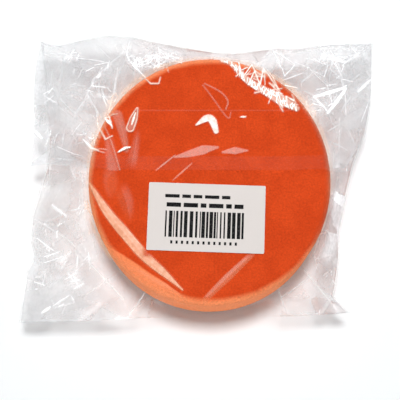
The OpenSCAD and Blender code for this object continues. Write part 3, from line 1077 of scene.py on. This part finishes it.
# Knots of white lines, painted glints of crushed film: x and y in mm, size in mm, and how many lines.
FLAP_KNOTS = (
    (76.0, 80.0, 9.0, 16), (80.0, 70.0, 7.0, 10), (74.0, 52.0, 11.0, 14), (64.0, 48.0, 8.0, 12),
    (90.0, 84.0, 6.0, 5), (40.0, 54.0, 7.0, 12), (48.0, 47.0, 6.0, 12), (30.0, 62.0, 7.0, 14),
    (22.0, 66.0, 6.0, 8), (-60.0, 36.0, 8.0, 5), (-84.0, 60.0, 7.0, 7), (-80.0, 30.0, 9.0, 6),
    (-70.0, 22.0, 7.0, 6), (-36.0, 77.0, 9.0, 10), (-24.0, 79.0, 8.0, 8), (-45.0, 75.0, 6.0, 22),
    (-37.0, 80.0, 7.0, 26), (-27.0, 82.0, 6.0, 18), (-32.0, 73.0, 7.0, 16), (-70.0, 60.0, 9.0, 12),
    (-62.0, 50.0, 7.0, 10), (-88.0, 84.0, 9.0, 9), (-100.0, 55.0, 8.0, 6), (-66.0, 76.0, 8.0, 8),
    (-96.0, 30.0, 8.0, 7),
)
# The front panel's knots, listed the same way.
FRONT_KNOTS = (
    (-99.0, -40.0, 6.0, 8), (-80.0, -60.0, 7.0, 7), (-90.0, -73.0, 6.0, 4), (-84.0, 2.0, 8.0, 5),
    (66.0, -77.0, 5.0, 3), (-98.0, -28.0, 7.0, 8), (-77.0, -18.0, 7.0, 9), (-72.0, -45.0, 6.0, 8),
    (-104.0, -60.0, 7.0, 7), (-90.0, -50.0, 7.0, 8), (78.0, -30.0, 7.0, 5), (74.0, -60.0, 7.0, 6),
)


def free_selection() -> None:
    """Leaves edit mode and deselects everything."""
    if bpy.context.object is not None and bpy.context.object.mode != "OBJECT":
        bpy.ops.object.mode_set(mode="OBJECT")
    bpy.ops.object.select_all(action="DESELECT")


def take(piece: bpy.types.Object) -> None:
    """Makes a piece the only selected one."""
    free_selection()
    piece.select_set(True)
    bpy.context.view_layer.objects.active = piece


def settle(piece: bpy.types.Object, name: str, finish: bpy.types.Material) -> bpy.types.Object:
    """Names a piece, puts its place in its mesh and gives it one material."""
    take(piece)
    bpy.ops.object.transform_apply(location=True, rotation=True, scale=True)
    piece.name = name
    piece.data.name = name
    piece.data.materials.clear()
    piece.data.materials.append(finish)
    return piece


def apply_modifier(piece: bpy.types.Object, kind: str, **settings: object) -> None:
    """Adds a modifier with these settings and applies it."""
    take(piece)
    modifier = piece.modifiers.new(kind.lower(), kind)
    for name, value in settings.items():
        setattr(modifier, name, value)
    bpy.ops.object.modifier_apply(modifier=modifier.name)


def grid_piece(places: np.ndarray) -> bpy.types.Object:
    """A grid primitive whose points are taken to given places.

    Args:
        places: the places in millimetres, by row and column.

    Returns:
        The new object.
    """
    rows, columns = places.shape[0] - 1, places.shape[1] - 1
    free_selection()
    bpy.ops.mesh.primitive_grid_add(x_subdivisions=columns, y_subdivisions=rows, size=1.0)
    piece = bpy.context.object
    flat = np.zeros(len(piece.data.vertices) * 3)
    piece.data.vertices.foreach_get("co", flat)
    flat = flat.reshape(-1, 3) + 0.5
    column = np.rint(flat[:, 0] * columns).astype(int)
    row = np.rint(flat[:, 1] * rows).astype(int)
    piece.data.vertices.foreach_set("co", (places[row, column] * MM).ravel())
    piece.data.update()
    return piece


def lay_values(piece: bpy.types.Object, places: np.ndarray, **fields: np.ndarray) -> None:
    """Writes grid fields on a grid piece's points, as named attributes."""
    rows, columns = places.shape[0] - 1, places.shape[1] - 1
    count = len(piece.data.vertices)
    order = np.arange(count)
    row, column = order // (columns + 1), order % (columns + 1)
    for name, values in fields.items():
        layer = piece.data.attributes.new(name, "FLOAT", "POINT")
        layer.data.foreach_set("value", values[row, column].astype(np.float32))


# ---- the sub-assemblies ----


@dataclass
class Pad:
    """The foam disc on its loop backing."""

    size: PadSize
    cell: float = 1.0
    relief: float = 0.16
    slump: float = 2.2
    facets: int = 240

    def build(self) -> bpy.types.Object:
        """Models the foam disc: a cylinder with rolled edges, remeshed evenly and roughened."""
        free_selection()
        bpy.ops.mesh.primitive_cylinder_add(
            vertices=self.facets,
            radius=self.size.radius * MM,
            depth=(self.size.top - self.size.foot) * MM,
            location=(0.0, 0.0, (self.size.top + self.size.foot) / 2 * MM),
        )
        piece = bpy.context.object
        self.roll_edge(piece, True, self.size.face_edge, 8)
        self.roll_edge(piece, False, self.size.back_edge, 3)
        apply_modifier(piece, "REMESH", mode="VOXEL", voxel_size=self.cell * MM)
        apply_modifier(piece, "SMOOTH", factor=0.5, iterations=6)
        settle(piece, "foam_pad", FoamFinish("foam").build())
        self.soften(piece)
        bpy.ops.object.shade_smooth()
        return piece

    def roll_edge(self, piece: bpy.types.Object, upper: bool, width: float, steps: int) -> None:
        """Rounds one rim of the cylinder.

        Args:
            piece: the cylinder.
            upper: whether it is the working face's rim.
            width: the rounding, in millimetres.
            steps: the bevel's segments.
        """
        take(piece)
        bpy.ops.object.mode_set(mode="EDIT")
        bpy.ops.mesh.select_all(action="DESELECT")
        bpy.ops.object.mode_set(mode="OBJECT")
        points = piece.data.vertices
        for edge in piece.data.edges:
            heights = [points[i].co.z for i in edge.vertices]
            half = piece.dimensions.z / 2
            edge.select = all((z > 0) == upper and abs(abs(z) - half) < 1e-6 for z in heights)
        bpy.ops.object.mode_set(mode="EDIT")
        bpy.ops.mesh.select_mode(type="EDGE")
        bpy.ops.mesh.bevel(offset=width * MM, segments=steps, profile=0.5, affect="EDGES")
        bpy.ops.object.mode_set(mode="OBJECT")

    def soften(self, piece: bpy.types.Object) -> None:
        """Squeezes the face to an oval, crowns it a little and adds the foam's uneven skin."""
        flat = np.zeros(len(piece.data.vertices) * 3)
        piece.data.vertices.foreach_get("co", flat)
        place = flat.reshape(-1, 3) / MM
        rise = np.clip((place[:, 2] - self.size.foot) / (self.size.top - self.size.foot), 0.0, 1.0)
        for axis, share in enumerate(self.size.face_oval):
            place[:, axis] *= 1 + (share - 1) * rise
        front = smoothstep(-place[:, 1] / self.size.radius, 0.2, 1.0)
        place[:, 1] -= self.slump * front * (1 - smoothstep(rise, 0.1, 0.7))
        rough = np.array([
            noise.noise(Vector(p) * 0.45) + 0.6 * noise.noise(Vector(p) * 1.1) for p in place.tolist()
        ])
        reach = np.hypot(place[:, 0], place[:, 1])
        outward = smoothstep(reach, self.size.radius - 6.0, self.size.radius)
        depth = -self.relief * (0.5 + 0.5 * rough)
        place[:, 2] += np.where(rise > 0.5, depth, 0.0) * (1 - outward)
        place[:, :2] *= (1 + outward * depth * 1.5 / self.size.radius)[:, None]
        piece.data.vertices.foreach_set("co", (place * MM).ravel())
        piece.data.update()

    def dress(self) -> None:
        """Replaces the CAD disc, and gives the fabric and the bonding film their materials."""
        piece = self.build()
        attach(piece, "package")
        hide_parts("foam_disc")
        report(piece)
        dress_node("loop_backing", LoopFinish("loop_fabric").build())
        dress_node("bond_film", GlueFinish("bond").build())


def dress_node(name: str, finish: bpy.types.Material) -> None:
    """Gives a CAD node a material."""
    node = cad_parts[name]
    node.data.materials.clear()
    node.data.materials.append(finish)
    LOG.info("%s keeps its CAD shape, in %s", name, finish.name)


def report(piece: bpy.types.Object) -> None:
    """Logs a finished piece with its size."""
    size = ", ".join(f"{side / MM:.1f}" for side in piece.dimensions)
    LOG.info("%s: %d points, %s mm", piece.name, len(piece.data.vertices), size)


class Side(Enum):
    """The two welded sides of the bag."""

    LEFT = "left"
    RIGHT = "right"


@dataclass
class Bag:
    """The film bag: its two panels, its closing flap, welds and adhesive strip."""

    pad: PadSize
    film_gap: float = 0.4
    flap_gap: float = 0.75
    front_cells: tuple[int, int] = (330, 275)
    back_cells: tuple[int, int] = (200, 160)
    flap_cells: tuple[int, int] = (420, 200)
    weld_width: float = 1.5
    weld_thick: float = 0.3
    strip_low: float = 1.0
    strip_width: float = 8.5
    strip_end: float = 16.0
    rim_line: float = 3.5
    finish: dict[str, bpy.types.Material] = field(default_factory=dict)

    def __post_init__(self) -> None:
        """Works out the bag's form from the pad and the welds."""
        low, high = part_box("side_weld_left")
        self.drape = Drape(self.pad, BAG_CUT.outline(), (low.z + high.z) / 2 / MM)
        self.flap_drape = Drape(self.pad, flap_outline(), self.drape.seam)
        self.ripple = Crumple(seed=4, waves=(23.0, 17.0), slope=0.05)
        label_low, label_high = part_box("label")
        self.label_low = np.array(label_low[:2]) / MM
        self.label_high = np.array(label_high[:2]) / MM

    def margin_of(self, down: np.ndarray) -> np.ndarray:
        """How freely the film folds: barely on the pad, fully between it and the edge."""
        return smoothstep(down, 0.0, 0.3) * (1 - 0.75 * smoothstep(down, 0.75, 1.0))

    def beside_label(self, plan: np.ndarray) -> np.ndarray:
        """0 under the label, which holds the film flat, and 1 well away from it."""
        out = np.maximum(self.label_low - plan, plan - self.label_high).max(axis=-1)
        return smoothstep(out, -1.0, 3.0)

    def raise_sheet(
        self, plan: np.ndarray, height: np.ndarray, down: np.ndarray, folds: np.ndarray
    ) -> np.ndarray:
        """Pushes a draped sheet out along its own normal.

        Args:
            plan: the sheet's places in plan.
            height: its heights before it is folded.
            down: how far down the slope each place is.
            folds: how far each place is pushed out.

        Returns:
            The places in space.
        """
        place = np.dstack([plan, height])
        normal = np.cross(np.gradient(place, axis=1), np.gradient(place, axis=0))
        normal /= np.linalg.norm(normal, axis=-1, keepdims=True)
        upright = smoothstep(down, 0.6, 1.0)[..., None]
        normal = normal * (1 - upright) + np.array([0.0, 0.0, 1.0]) * upright
        return place + normal * folds[..., None]

    def front_folds(self, plan: np.ndarray, down: np.ndarray) -> Layers:
        """The front panel's folds, which the flap over it repeats."""
        layers = Layers.empty(plan)
        Facets(seed=12, count=150).press(plan, layers)
        Creases(seed=21, count=80, milk_and_glint=0.7).press(plan, self.drape, layers)
        free = self.margin_of(down)
        layers.height *= free
        layers.haze *= free
        layers.height = layers.height + self.ripple.height(plan) * smoothstep(down, 0.1, 0.8)
        Bursts(seed=5, knots=FRONT_KNOTS).press(plan, layers)
        for mark in FRONT_MARKS:
            mark.press(plan, layers)
        flat = self.beside_label(plan)
        layers.height = np.maximum(layers.height, -2.2 * down) * flat
        layers.haze *= flat
        return layers

    def film(self, name: str, settings: FilmFinish) -> bpy.types.Material:
        """The film's material for one sheet, made once."""
        if name not in self.finish:
            self.finish[name] = settings.build()
        return self.finish[name]

    def sheet_piece(
        self, name: str, place: np.ndarray, layers: Layers, veil: np.ndarray, finish: bpy.types.Material
    ) -> bpy.types.Object:
        """Makes a film sheet's object.

        Args:
            name: the piece's name.
            place: its places in space, by row and column.
            layers: its milky whitening with painted glints, and its web of creases.
            veil: how much the film shows where it is smooth.
            finish: its material.

        Returns:
            The piece.
        """
        piece = grid_piece(place)
        haze, web = np.clip(layers.haze, 0.0, 1.0), np.clip(layers.web, 0.0, 1.0)
        ends = (place[:, :1], place[:, -1:], place[:1], place[-1:])
        rim = np.min([np.linalg.norm(place - end, axis=-1) for end in ends], axis=0)
        shown = layers.tone * (1 + self.rim_line * np.exp(-((rim / 0.5) ** 2)))
        lay_values(piece, place, haze=haze, web=web, veil=veil * shown)
        settle(piece, name, finish)
        bpy.ops.object.shade_smooth()
        return piece

    def veil_of(self, down: np.ndarray) -> np.ndarray:
        """The smooth film's share of veil: it all but vanishes where it lies on the foam."""
        return smoothstep(down, 0.06, 0.5)

    def build_front(self) -> bpy.types.Object:
        """The front panel, drawn over the pad."""
        plan = BAG_CUT.plan(*self.front_cells)
        height, down = self.drape.over(plan, self.film_gap)
        layers = self.front_folds(plan, down)
        place = self.raise_sheet(plan, height, down, layers.height)
        self.edges = {Side.LEFT: place[:, 0], Side.RIGHT: place[:, -1]}
        layers.haze = np.maximum(layers.haze, self.rim_haze(plan))
        self.cloud(layers, plan, down, 0.2)
        layers.web = np.maximum(layers.web, self.stray_web(plan, down) * 0.06)
        settings = FilmFinish("film_front", veil=0.07)
        finish = self.film("front", settings)
        piece = self.sheet_piece("front_film", place, layers, self.veil_of(down), finish)
        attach(piece, "package")
        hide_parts("bag_front_panel")
        return piece

    def build_back(self) -> bpy.types.Object:
        """The back panel, which the pad stands on."""
        plan = BAG_CUT.plan(*self.back_cells)
        height, up = self.drape.under(plan)
        layers = Layers.empty(plan)
        Facets(seed=18, count=110).press(plan, layers)
        Creases(seed=33, count=35, milk_and_glint=0.4).press(plan, self.drape, layers)
        layers.height = layers.height * self.margin_of(up)
        layers.haze = layers.haze * self.margin_of(up)
        layers.height = layers.height + self.ripple.height(plan) * smoothstep(up, 0.1, 0.8)
        place = self.raise_sheet(plan, height, up, layers.height)
        place[..., 2] = np.maximum(place[..., 2], 0.1)
        layers.web = self.stray_web(plan, up) * 0.05
        self.cloud(layers, plan, up, 0.14)
        settings = FilmFinish("film_back", veil=0.07)
        finish = self.film("back", settings)
        piece = self.sheet_piece("back_film", place, layers, self.veil_of(up), finish)
        take(piece)
        bpy.ops.object.mode_set(mode="EDIT")
        bpy.ops.mesh.select_all(action="SELECT")
        bpy.ops.mesh.flip_normals()
        bpy.ops.object.mode_set(mode="OBJECT")
        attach(piece, "package")
        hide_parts("bag_back_panel")
        return piece

    def cloud(self, layers: Layers, plan: np.ndarray, down: np.ndarray, amount: float) -> None:
        """Clouds the free film a little, plane by plane, and clears it at the middle of its foot."""
        layers.haze = np.maximum(layers.haze, amount * smoothstep(down, 0.08, 0.45) * layers.tone)
        clear = self.foot_clear(plan)
        layers.tone = layers.tone * clear
        layers.haze = layers.haze * clear

    def foot_clear(self, plan: np.ndarray) -> np.ndarray:
        """How little the film shows where the middle of its foot is pulled tight against the pad."""
        middle = 1 - smoothstep(np.abs(plan[..., 0] - 2.0), 30.0, 55.0)
        return 1 - 0.97 * middle * (1 - smoothstep(plan[..., 1], -77.0, -70.0))

    def rim_haze(self, plan: np.ndarray) -> np.ndarray:
        """A painted sheen: a soft white ring where the film is pulled over the pad's rim, stronger towards
        the top fold.
        """
        distance, _ = self.drape.polar(plan)
        uneven = 0.7 + 0.3 * Crumple(seed=3, waves=(19.0, 13.0), slope=0.2).height(plan)
        ring = np.exp(-(((distance - self.pad.radius) / 2.2) ** 2))
        return 0.4 * np.clip(uneven, 0.2, 1.0) * ring * smoothstep(plan[..., 1], -70.0, 30.0)

    def stray_web(self, plan: np.ndarray, down: np.ndarray) -> np.ndarray:
        """Patches of fine creases scattered over the margin."""
        broad = Crumple(seed=7, waves=(52.0, 37.0, 29.0), slope=0.1).height(plan)
        return smoothstep(broad, 0.2, 2.2) * smoothstep(down, 0.05, 0.4)

    def flap_place(self, plan: np.ndarray, rise: float) -> tuple[np.ndarray, np.ndarray, Layers]:
        """The flap's form.

        Args:
            plan: places in plan.
            rise: how far the sheet lies above the front panel.

        Returns:
            The places in space, how far down the slope each is, and the flap's layers.
        """
        height, down = self.flap_drape.over(plan, self.film_gap)
        shared = self.front_folds(plan, down)
        own = Layers.empty(plan)
        Facets(seed=15, count=170, fold=0.7).press(plan, own)
        Creases(seed=57, count=90, milk_and_glint=0.7).press(plan, self.drape, own)
        own.height = np.clip(own.height, 0.0, None) * self.margin_of(down)
        own.haze = own.haze * self.margin_of(down)
        Bursts(seed=6, knots=FLAP_KNOTS).press(plan, own)
        for mark in FLAP_MARKS:
            mark.press(plan, own)
        return self.raise_sheet(plan, height, down, shared.height + own.height + rise), down, own

    def build_flap(self) -> bpy.types.Object:
        """The closing flap, folded over the front panel from the top fold."""
        plan = FLAP_CUT.plan(*self.flap_cells)
        place, down, layers = self.flap_place(plan, self.flap_gap)
        layers.web = np.maximum(layers.web, self.stray_web(plan, down) * 0.06)
        layers.haze = np.maximum(layers.haze, self.rim_haze(plan))
        # The flap's milky colour is greyer than the front's, painted shade, and past the bag's left edge the
        # flap clouds more, so the single sheet there reads darker.
        edge = BAG_CUT.left.sample(200)
        beyond = np.interp(plan[..., 1], edge[:, 1], edge[:, 0]) - plan[..., 0]
        layers.tone = layers.tone * (1 + 1.6 * smoothstep(beyond, -1.0, 1.0))
        self.cloud(layers, plan, down, 0.13)
        settings = FilmFinish("film_flap", veil=0.035, cloud=srgb(236, 237, 240), painted_foam_bounce=srgb(255, 226, 205))
        finish = self.film("flap", settings)
        piece = self.sheet_piece("flap_film", place, layers, self.veil_of(down), finish)
        self.bend(piece)
        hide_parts("closing_flap")
        return piece

    def bend(self, piece: bpy.types.Object) -> None:
        """Bakes the piece's placement into its mesh."""
        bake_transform(piece)

    def build_strip(self) -> bpy.types.Object:
        """The adhesive strip under the flap's free edge."""
        free_edge = FLAP_CUT.foot.sample(321, FLAP_CUT.soften)
        keep = (free_edge[:, 0] > FLAP_CUT.foot.points[0][0] + self.strip_end) & (
            free_edge[:, 0] < FLAP_CUT.foot.points[-1][0] - self.strip_end
        )
        line = free_edge[keep]
        lifts = [self.strip_low + self.strip_width * share for share in np.linspace(0, 1, 13)]
        rows = [line + np.array([0.0, lift]) for lift in lifts]
        place = self.flap_place(np.array(rows), self.flap_gap - 0.15)[0]
        piece = grid_piece(place)
        settle(piece, "adhesive_band", BandFinish("adhesive", cover=0.012, gloss=0.4).build())
        bpy.ops.object.shade_smooth()
        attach(piece, "flap")
        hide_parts("adhesive_strip")
        return piece

    def build_weld(self, side: Side) -> bpy.types.Object:
        """A crimped weld line along one side of the two panels."""
        edge = self.edges[side]
        outward = np.array([-1.0 if side is Side.LEFT else 1.0, 0.0, 0.0])
        columns = [edge + outward * (self.weld_width * share - 0.3) for share in (0.0, 0.35, 0.7, 1.0)]
        place = np.stack(columns if side is Side.RIGHT else columns[::-1], axis=1)
        crimp = np.sin(np.arange(len(edge)) * 1.9)[:, None] * np.array([0.0, 0.12, -0.12, 0.0])
        place[..., 2] += crimp
        piece = grid_piece(place)
        name = f"weld_{side.value}"
        settle(piece, name, BandFinish(name, cover=0.12, grain_scale=900.0).build())
        apply_modifier(piece, "SOLIDIFY", thickness=self.weld_thick * MM, offset=0.0)
        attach(piece, "package")
        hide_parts(f"side_weld_{side.value}")
        return piece

    def dress(self) -> None:
        """Builds every film piece, grouped by slot, and logs each."""
        made = {
            "film": [self.build_front(), self.build_back(), self.build_flap()],
            "adhesive": [self.build_strip()],
            "weld": [self.build_weld(side) for side in Side],
        }
        for slot, pieces in made.items():
            for piece in pieces:
                report(piece)


@dataclass
class Label:
    """The paper label with its plain rules and bars."""

    width: float = 70.0
    height: float = 41.0
    turn: float = -2.0
    corner: float = 0.8
    print_thick: float = 0.02
    bar_seed: int = 9
    bars: tuple[float, float, float, float] = (-24.5, 23.5, -12.2, 3.6)
    bar_widths: tuple[float, ...] = (0.6, 0.9, 1.3, 2.1)
    bar_gaps: tuple[float, ...] = (0.5, 0.65, 0.9, 1.3)
    rows: tuple[tuple[float, float, float, float], ...] = ((-25.0, 14.0, 11.6, 2.0), (-24.0, 22.0, 6.0, 2.6))
    blocks: tuple[float, ...] = (3.4, 5.2, 7.0, 8.6)
    dashes: tuple[float, float, float] = (-21.0, 18.0, -16.2)
    dash_pitch: float = 3.2
    dash_size: tuple[float, float] = (1.3, 1.9)

    def __post_init__(self) -> None:
        """Finds the label's middle and its thickness in the frame."""
        low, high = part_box("label")
        self.centre = (low + high) / 2
        self.thick = high.z - low.z
        self.top = high.z

    def slab(
        self, left: float, right: float, low: float, high: float, thick: float, base: float
    ) -> bpy.types.Object:
        """A thin box on the label, in the label's own directions.

        Args:
            left: its left side from the label's middle, in millimetres.
            right: its right side.
            low: its lower side.
            high: its upper side.
            thick: its thickness in metres.
            base: the height of its underside in metres.

        Returns:
            The box.
        """
        turn = math.radians(self.turn)
        x, y = (left + right) / 2 * MM, (low + high) / 2 * MM
        free_selection()
        bpy.ops.mesh.primitive_cube_add(
            size=1.0,
            location=(
                self.centre.x + x * math.cos(turn) - y * math.sin(turn),
                self.centre.y + x * math.sin(turn) + y * math.cos(turn),
                base + thick / 2,
            ),
            rotation=(0.0, 0.0, turn),
            scale=((right - left) * MM, (high - low) * MM, thick),
        )
        piece = bpy.context.object
        bpy.ops.object.transform_apply(location=True, rotation=True, scale=True)
        return piece

    def build_paper(self) -> bpy.types.Object:
        """The label's paper, with rounded corners."""
        half_w, half_h = self.width / 2, self.height / 2
        piece = self.slab(-half_w, half_w, -half_h, half_h, self.thick, self.top - self.thick)
        take(piece)
        bpy.ops.object.mode_set(mode="EDIT")
        bpy.ops.mesh.select_all(action="DESELECT")
        bpy.ops.object.mode_set(mode="OBJECT")
        points = piece.data.vertices
        for edge in piece.data.edges:
            first, second = (points[i].co for i in edge.vertices)
            edge.select = (first - second).to_2d().length < 1e-6
        bpy.ops.object.mode_set(mode="EDIT")
        bpy.ops.mesh.select_mode(type="EDGE")
        bpy.ops.mesh.bevel(offset=self.corner * MM, segments=4, affect="EDGES")
        bpy.ops.object.mode_set(mode="OBJECT")
        settle(piece, "label_paper", PaperFinish("label_paper").build())
        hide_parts("label")
        return piece

    def fill(
        self,
        draw: np.random.Generator,
        left: float,
        right: float,
        widths: tuple[float, ...],
        gaps: tuple[float, ...],
    ) -> list[Point]:
        """Fills a row with marks of uneven width.

        Args:
            draw: the source of the widths.
            left: where the row starts.
            right: where it ends at the latest.
            widths: the widths that a mark may have.
            gaps: the gaps that may follow it.

        Returns:
            Each mark's left and right side.
        """
        marks, x = [], left
        while x + max(widths) < right:
            width = float(draw.choice(widths))
            marks.append((x, x + width))
            x += width + float(draw.choice(gaps))
        return [*marks, (x, right)] if right - x > min(widths) else marks

    def build_print(self) -> bpy.types.Object:
        """The print: plain blocks and dashes, and bars of uneven width that stand for no number."""
        draw = np.random.default_rng(self.bar_seed)
        left, right, low, high = self.bars
        marks = [(x, y, low, high) for x, y in self.fill(draw, left, right, self.bar_widths, self.bar_gaps)]
        for left, right, base, tall in self.rows:
            marks += [(x, y, base, base + tall) for x, y in self.fill(draw, left, right, self.blocks, (1.6,))]
        left, right, base = self.dashes
        wide, tall = self.dash_size
        marks += [(x, x + wide, base, base + tall) for x in np.arange(left, right, self.dash_pitch).tolist()]
        pieces = [self.slab(*mark, self.print_thick * MM, self.top) for mark in marks]
        free_selection()
        for piece in pieces:
            piece.select_set(True)
        bpy.context.view_layer.objects.active = pieces[0]
        bpy.ops.object.join()
        return settle(bpy.context.object, "label_print", InkFinish("label_ink").build())

    def dress(self) -> None:
        """Builds the label's paper and print."""
        for piece in (self.build_paper(), self.build_print()):
            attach(piece, "package")
            report(piece)


@dataclass
class Lamp:
    """A square soft light that looks at the pad."""

    name: str
    azimuth: float
    elevation: float
    distance: float
    side: float
    level: float

    def build(self, target: Vector) -> None:
        """Hangs the lamp.

        Args:
            target: the point that it lights.
        """
        turn, lift = math.radians(self.azimuth), math.radians(self.elevation)
        way = Vector((math.sin(turn) * math.cos(lift), math.cos(turn) * math.cos(lift), math.sin(lift)))
        free_selection()
        bpy.ops.object.light_add(type="AREA", location=target + way * self.distance)
        lamp = bpy.context.object
        lamp.name = self.name
        lamp.data.size = self.side
        lamp.data.energy = self.level * math.pi**2 * self.distance**2 / math.sin(lift)
        lamp.rotation_euler = way.to_track_quat("Z", "Y").to_euler()


@dataclass
class Studio:
    """A white paper sweep, soft lamps and the camera."""

    target: Vector = field(default_factory=lambda: Vector((-5.77, -8.69, 25.0)) * MM)
    camera_tilt: float = 10.0
    camera_distance: float = 0.6
    lens: float = 86.24
    sensor: float = 36.0
    world_level: float = 0.09
    floor_radius: float = 2.4
    wall: float = 1.4
    lamps: tuple[Lamp, ...] = (
        Lamp("lamp_top", 0.0, 79.0, 1.3, 0.25, 0.90),
        Lamp("lamp_left", -80.0, 46.0, 1.3, 0.3, 0.03),
        Lamp("lamp_right", 80.0, 46.0, 1.3, 0.3, 0.04),
        Lamp("lamp_foot", 180.0, 8.0, 1.5, 0.35, 0.038),
    )

    def build(self) -> None:
        """Sets up the sweep, the world, the lamps and the camera."""
        self.build_sweep()
        self.build_world()
        for lamp in self.lamps:
            lamp.build(self.target)
        self.build_camera()
        bpy.context.scene.view_settings.view_transform = "Standard"

    def build_sweep(self) -> None:
        """A round floor with an upturned wall, all in one white paper."""
        free_selection()
        bpy.ops.mesh.primitive_circle_add(vertices=96, radius=self.floor_radius, fill_type="NGON")
        sweep = bpy.context.object
        bpy.ops.object.mode_set(mode="EDIT")
        bpy.ops.mesh.select_all(action="SELECT")
        bpy.ops.mesh.select_mode(type="EDGE")
        bpy.ops.mesh.region_to_loop()
        for grow, lift in ((1.06, 0.04), (1.05, 0.14), (1.02, 0.3), (1.0, self.wall)):
            bpy.ops.mesh.extrude_edges_move(TRANSFORM_OT_translate={"value": (0.0, 0.0, lift)})
            bpy.ops.transform.resize(value=(grow, grow, 1.0))
        bpy.ops.object.mode_set(mode="OBJECT")
        settle(sweep, "studio_sweep", StudioFinish("studio_paper").build())
        bpy.ops.object.shade_smooth_by_angle(angle=math.radians(40))

    def build_world(self) -> None:
        """A plain grey-white sky over the sweep."""
        world = bpy.data.worlds.new("studio_world")
        world.use_nodes = True
        background = world.node_tree.nodes["Background"]
        background.inputs["Color"].default_value = (1.0, 1.0, 1.0, 1.0)
        background.inputs["Strength"].default_value = self.world_level
        bpy.context.scene.world = world

    def build_camera(self) -> None:
        """A long lens that looks down on the pad, leaning back from its foot."""
        tilt = math.radians(self.camera_tilt)
        back = Vector((0.0, -math.sin(tilt), math.cos(tilt)))
        free_selection()
        place = self.target + back * self.camera_distance
        bpy.ops.object.camera_add(location=place, rotation=(tilt, 0.0, 0.0))
        camera = bpy.context.object
        camera.name = "camera"
        camera.data.lens = self.lens
        camera.data.sensor_width = self.sensor
        camera.data.clip_start = 0.01
        bpy.context.scene.camera = camera


def write_sizes() -> None:
    """Brings the scene's placements up to date."""
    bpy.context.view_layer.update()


def main() -> None:
    """Builds the studio, then the pad, the bag and the label."""
    logging.basicConfig(level=logging.INFO, format="%(name)s: %(message)s")
    Shared.build()
    Studio().build()
    size = PadSize.from_frame()
    Pad(size).dress()
    Bag(size).dress()
    Label().dress()
    write_sizes()


if __name__ == "__main__":
    main()
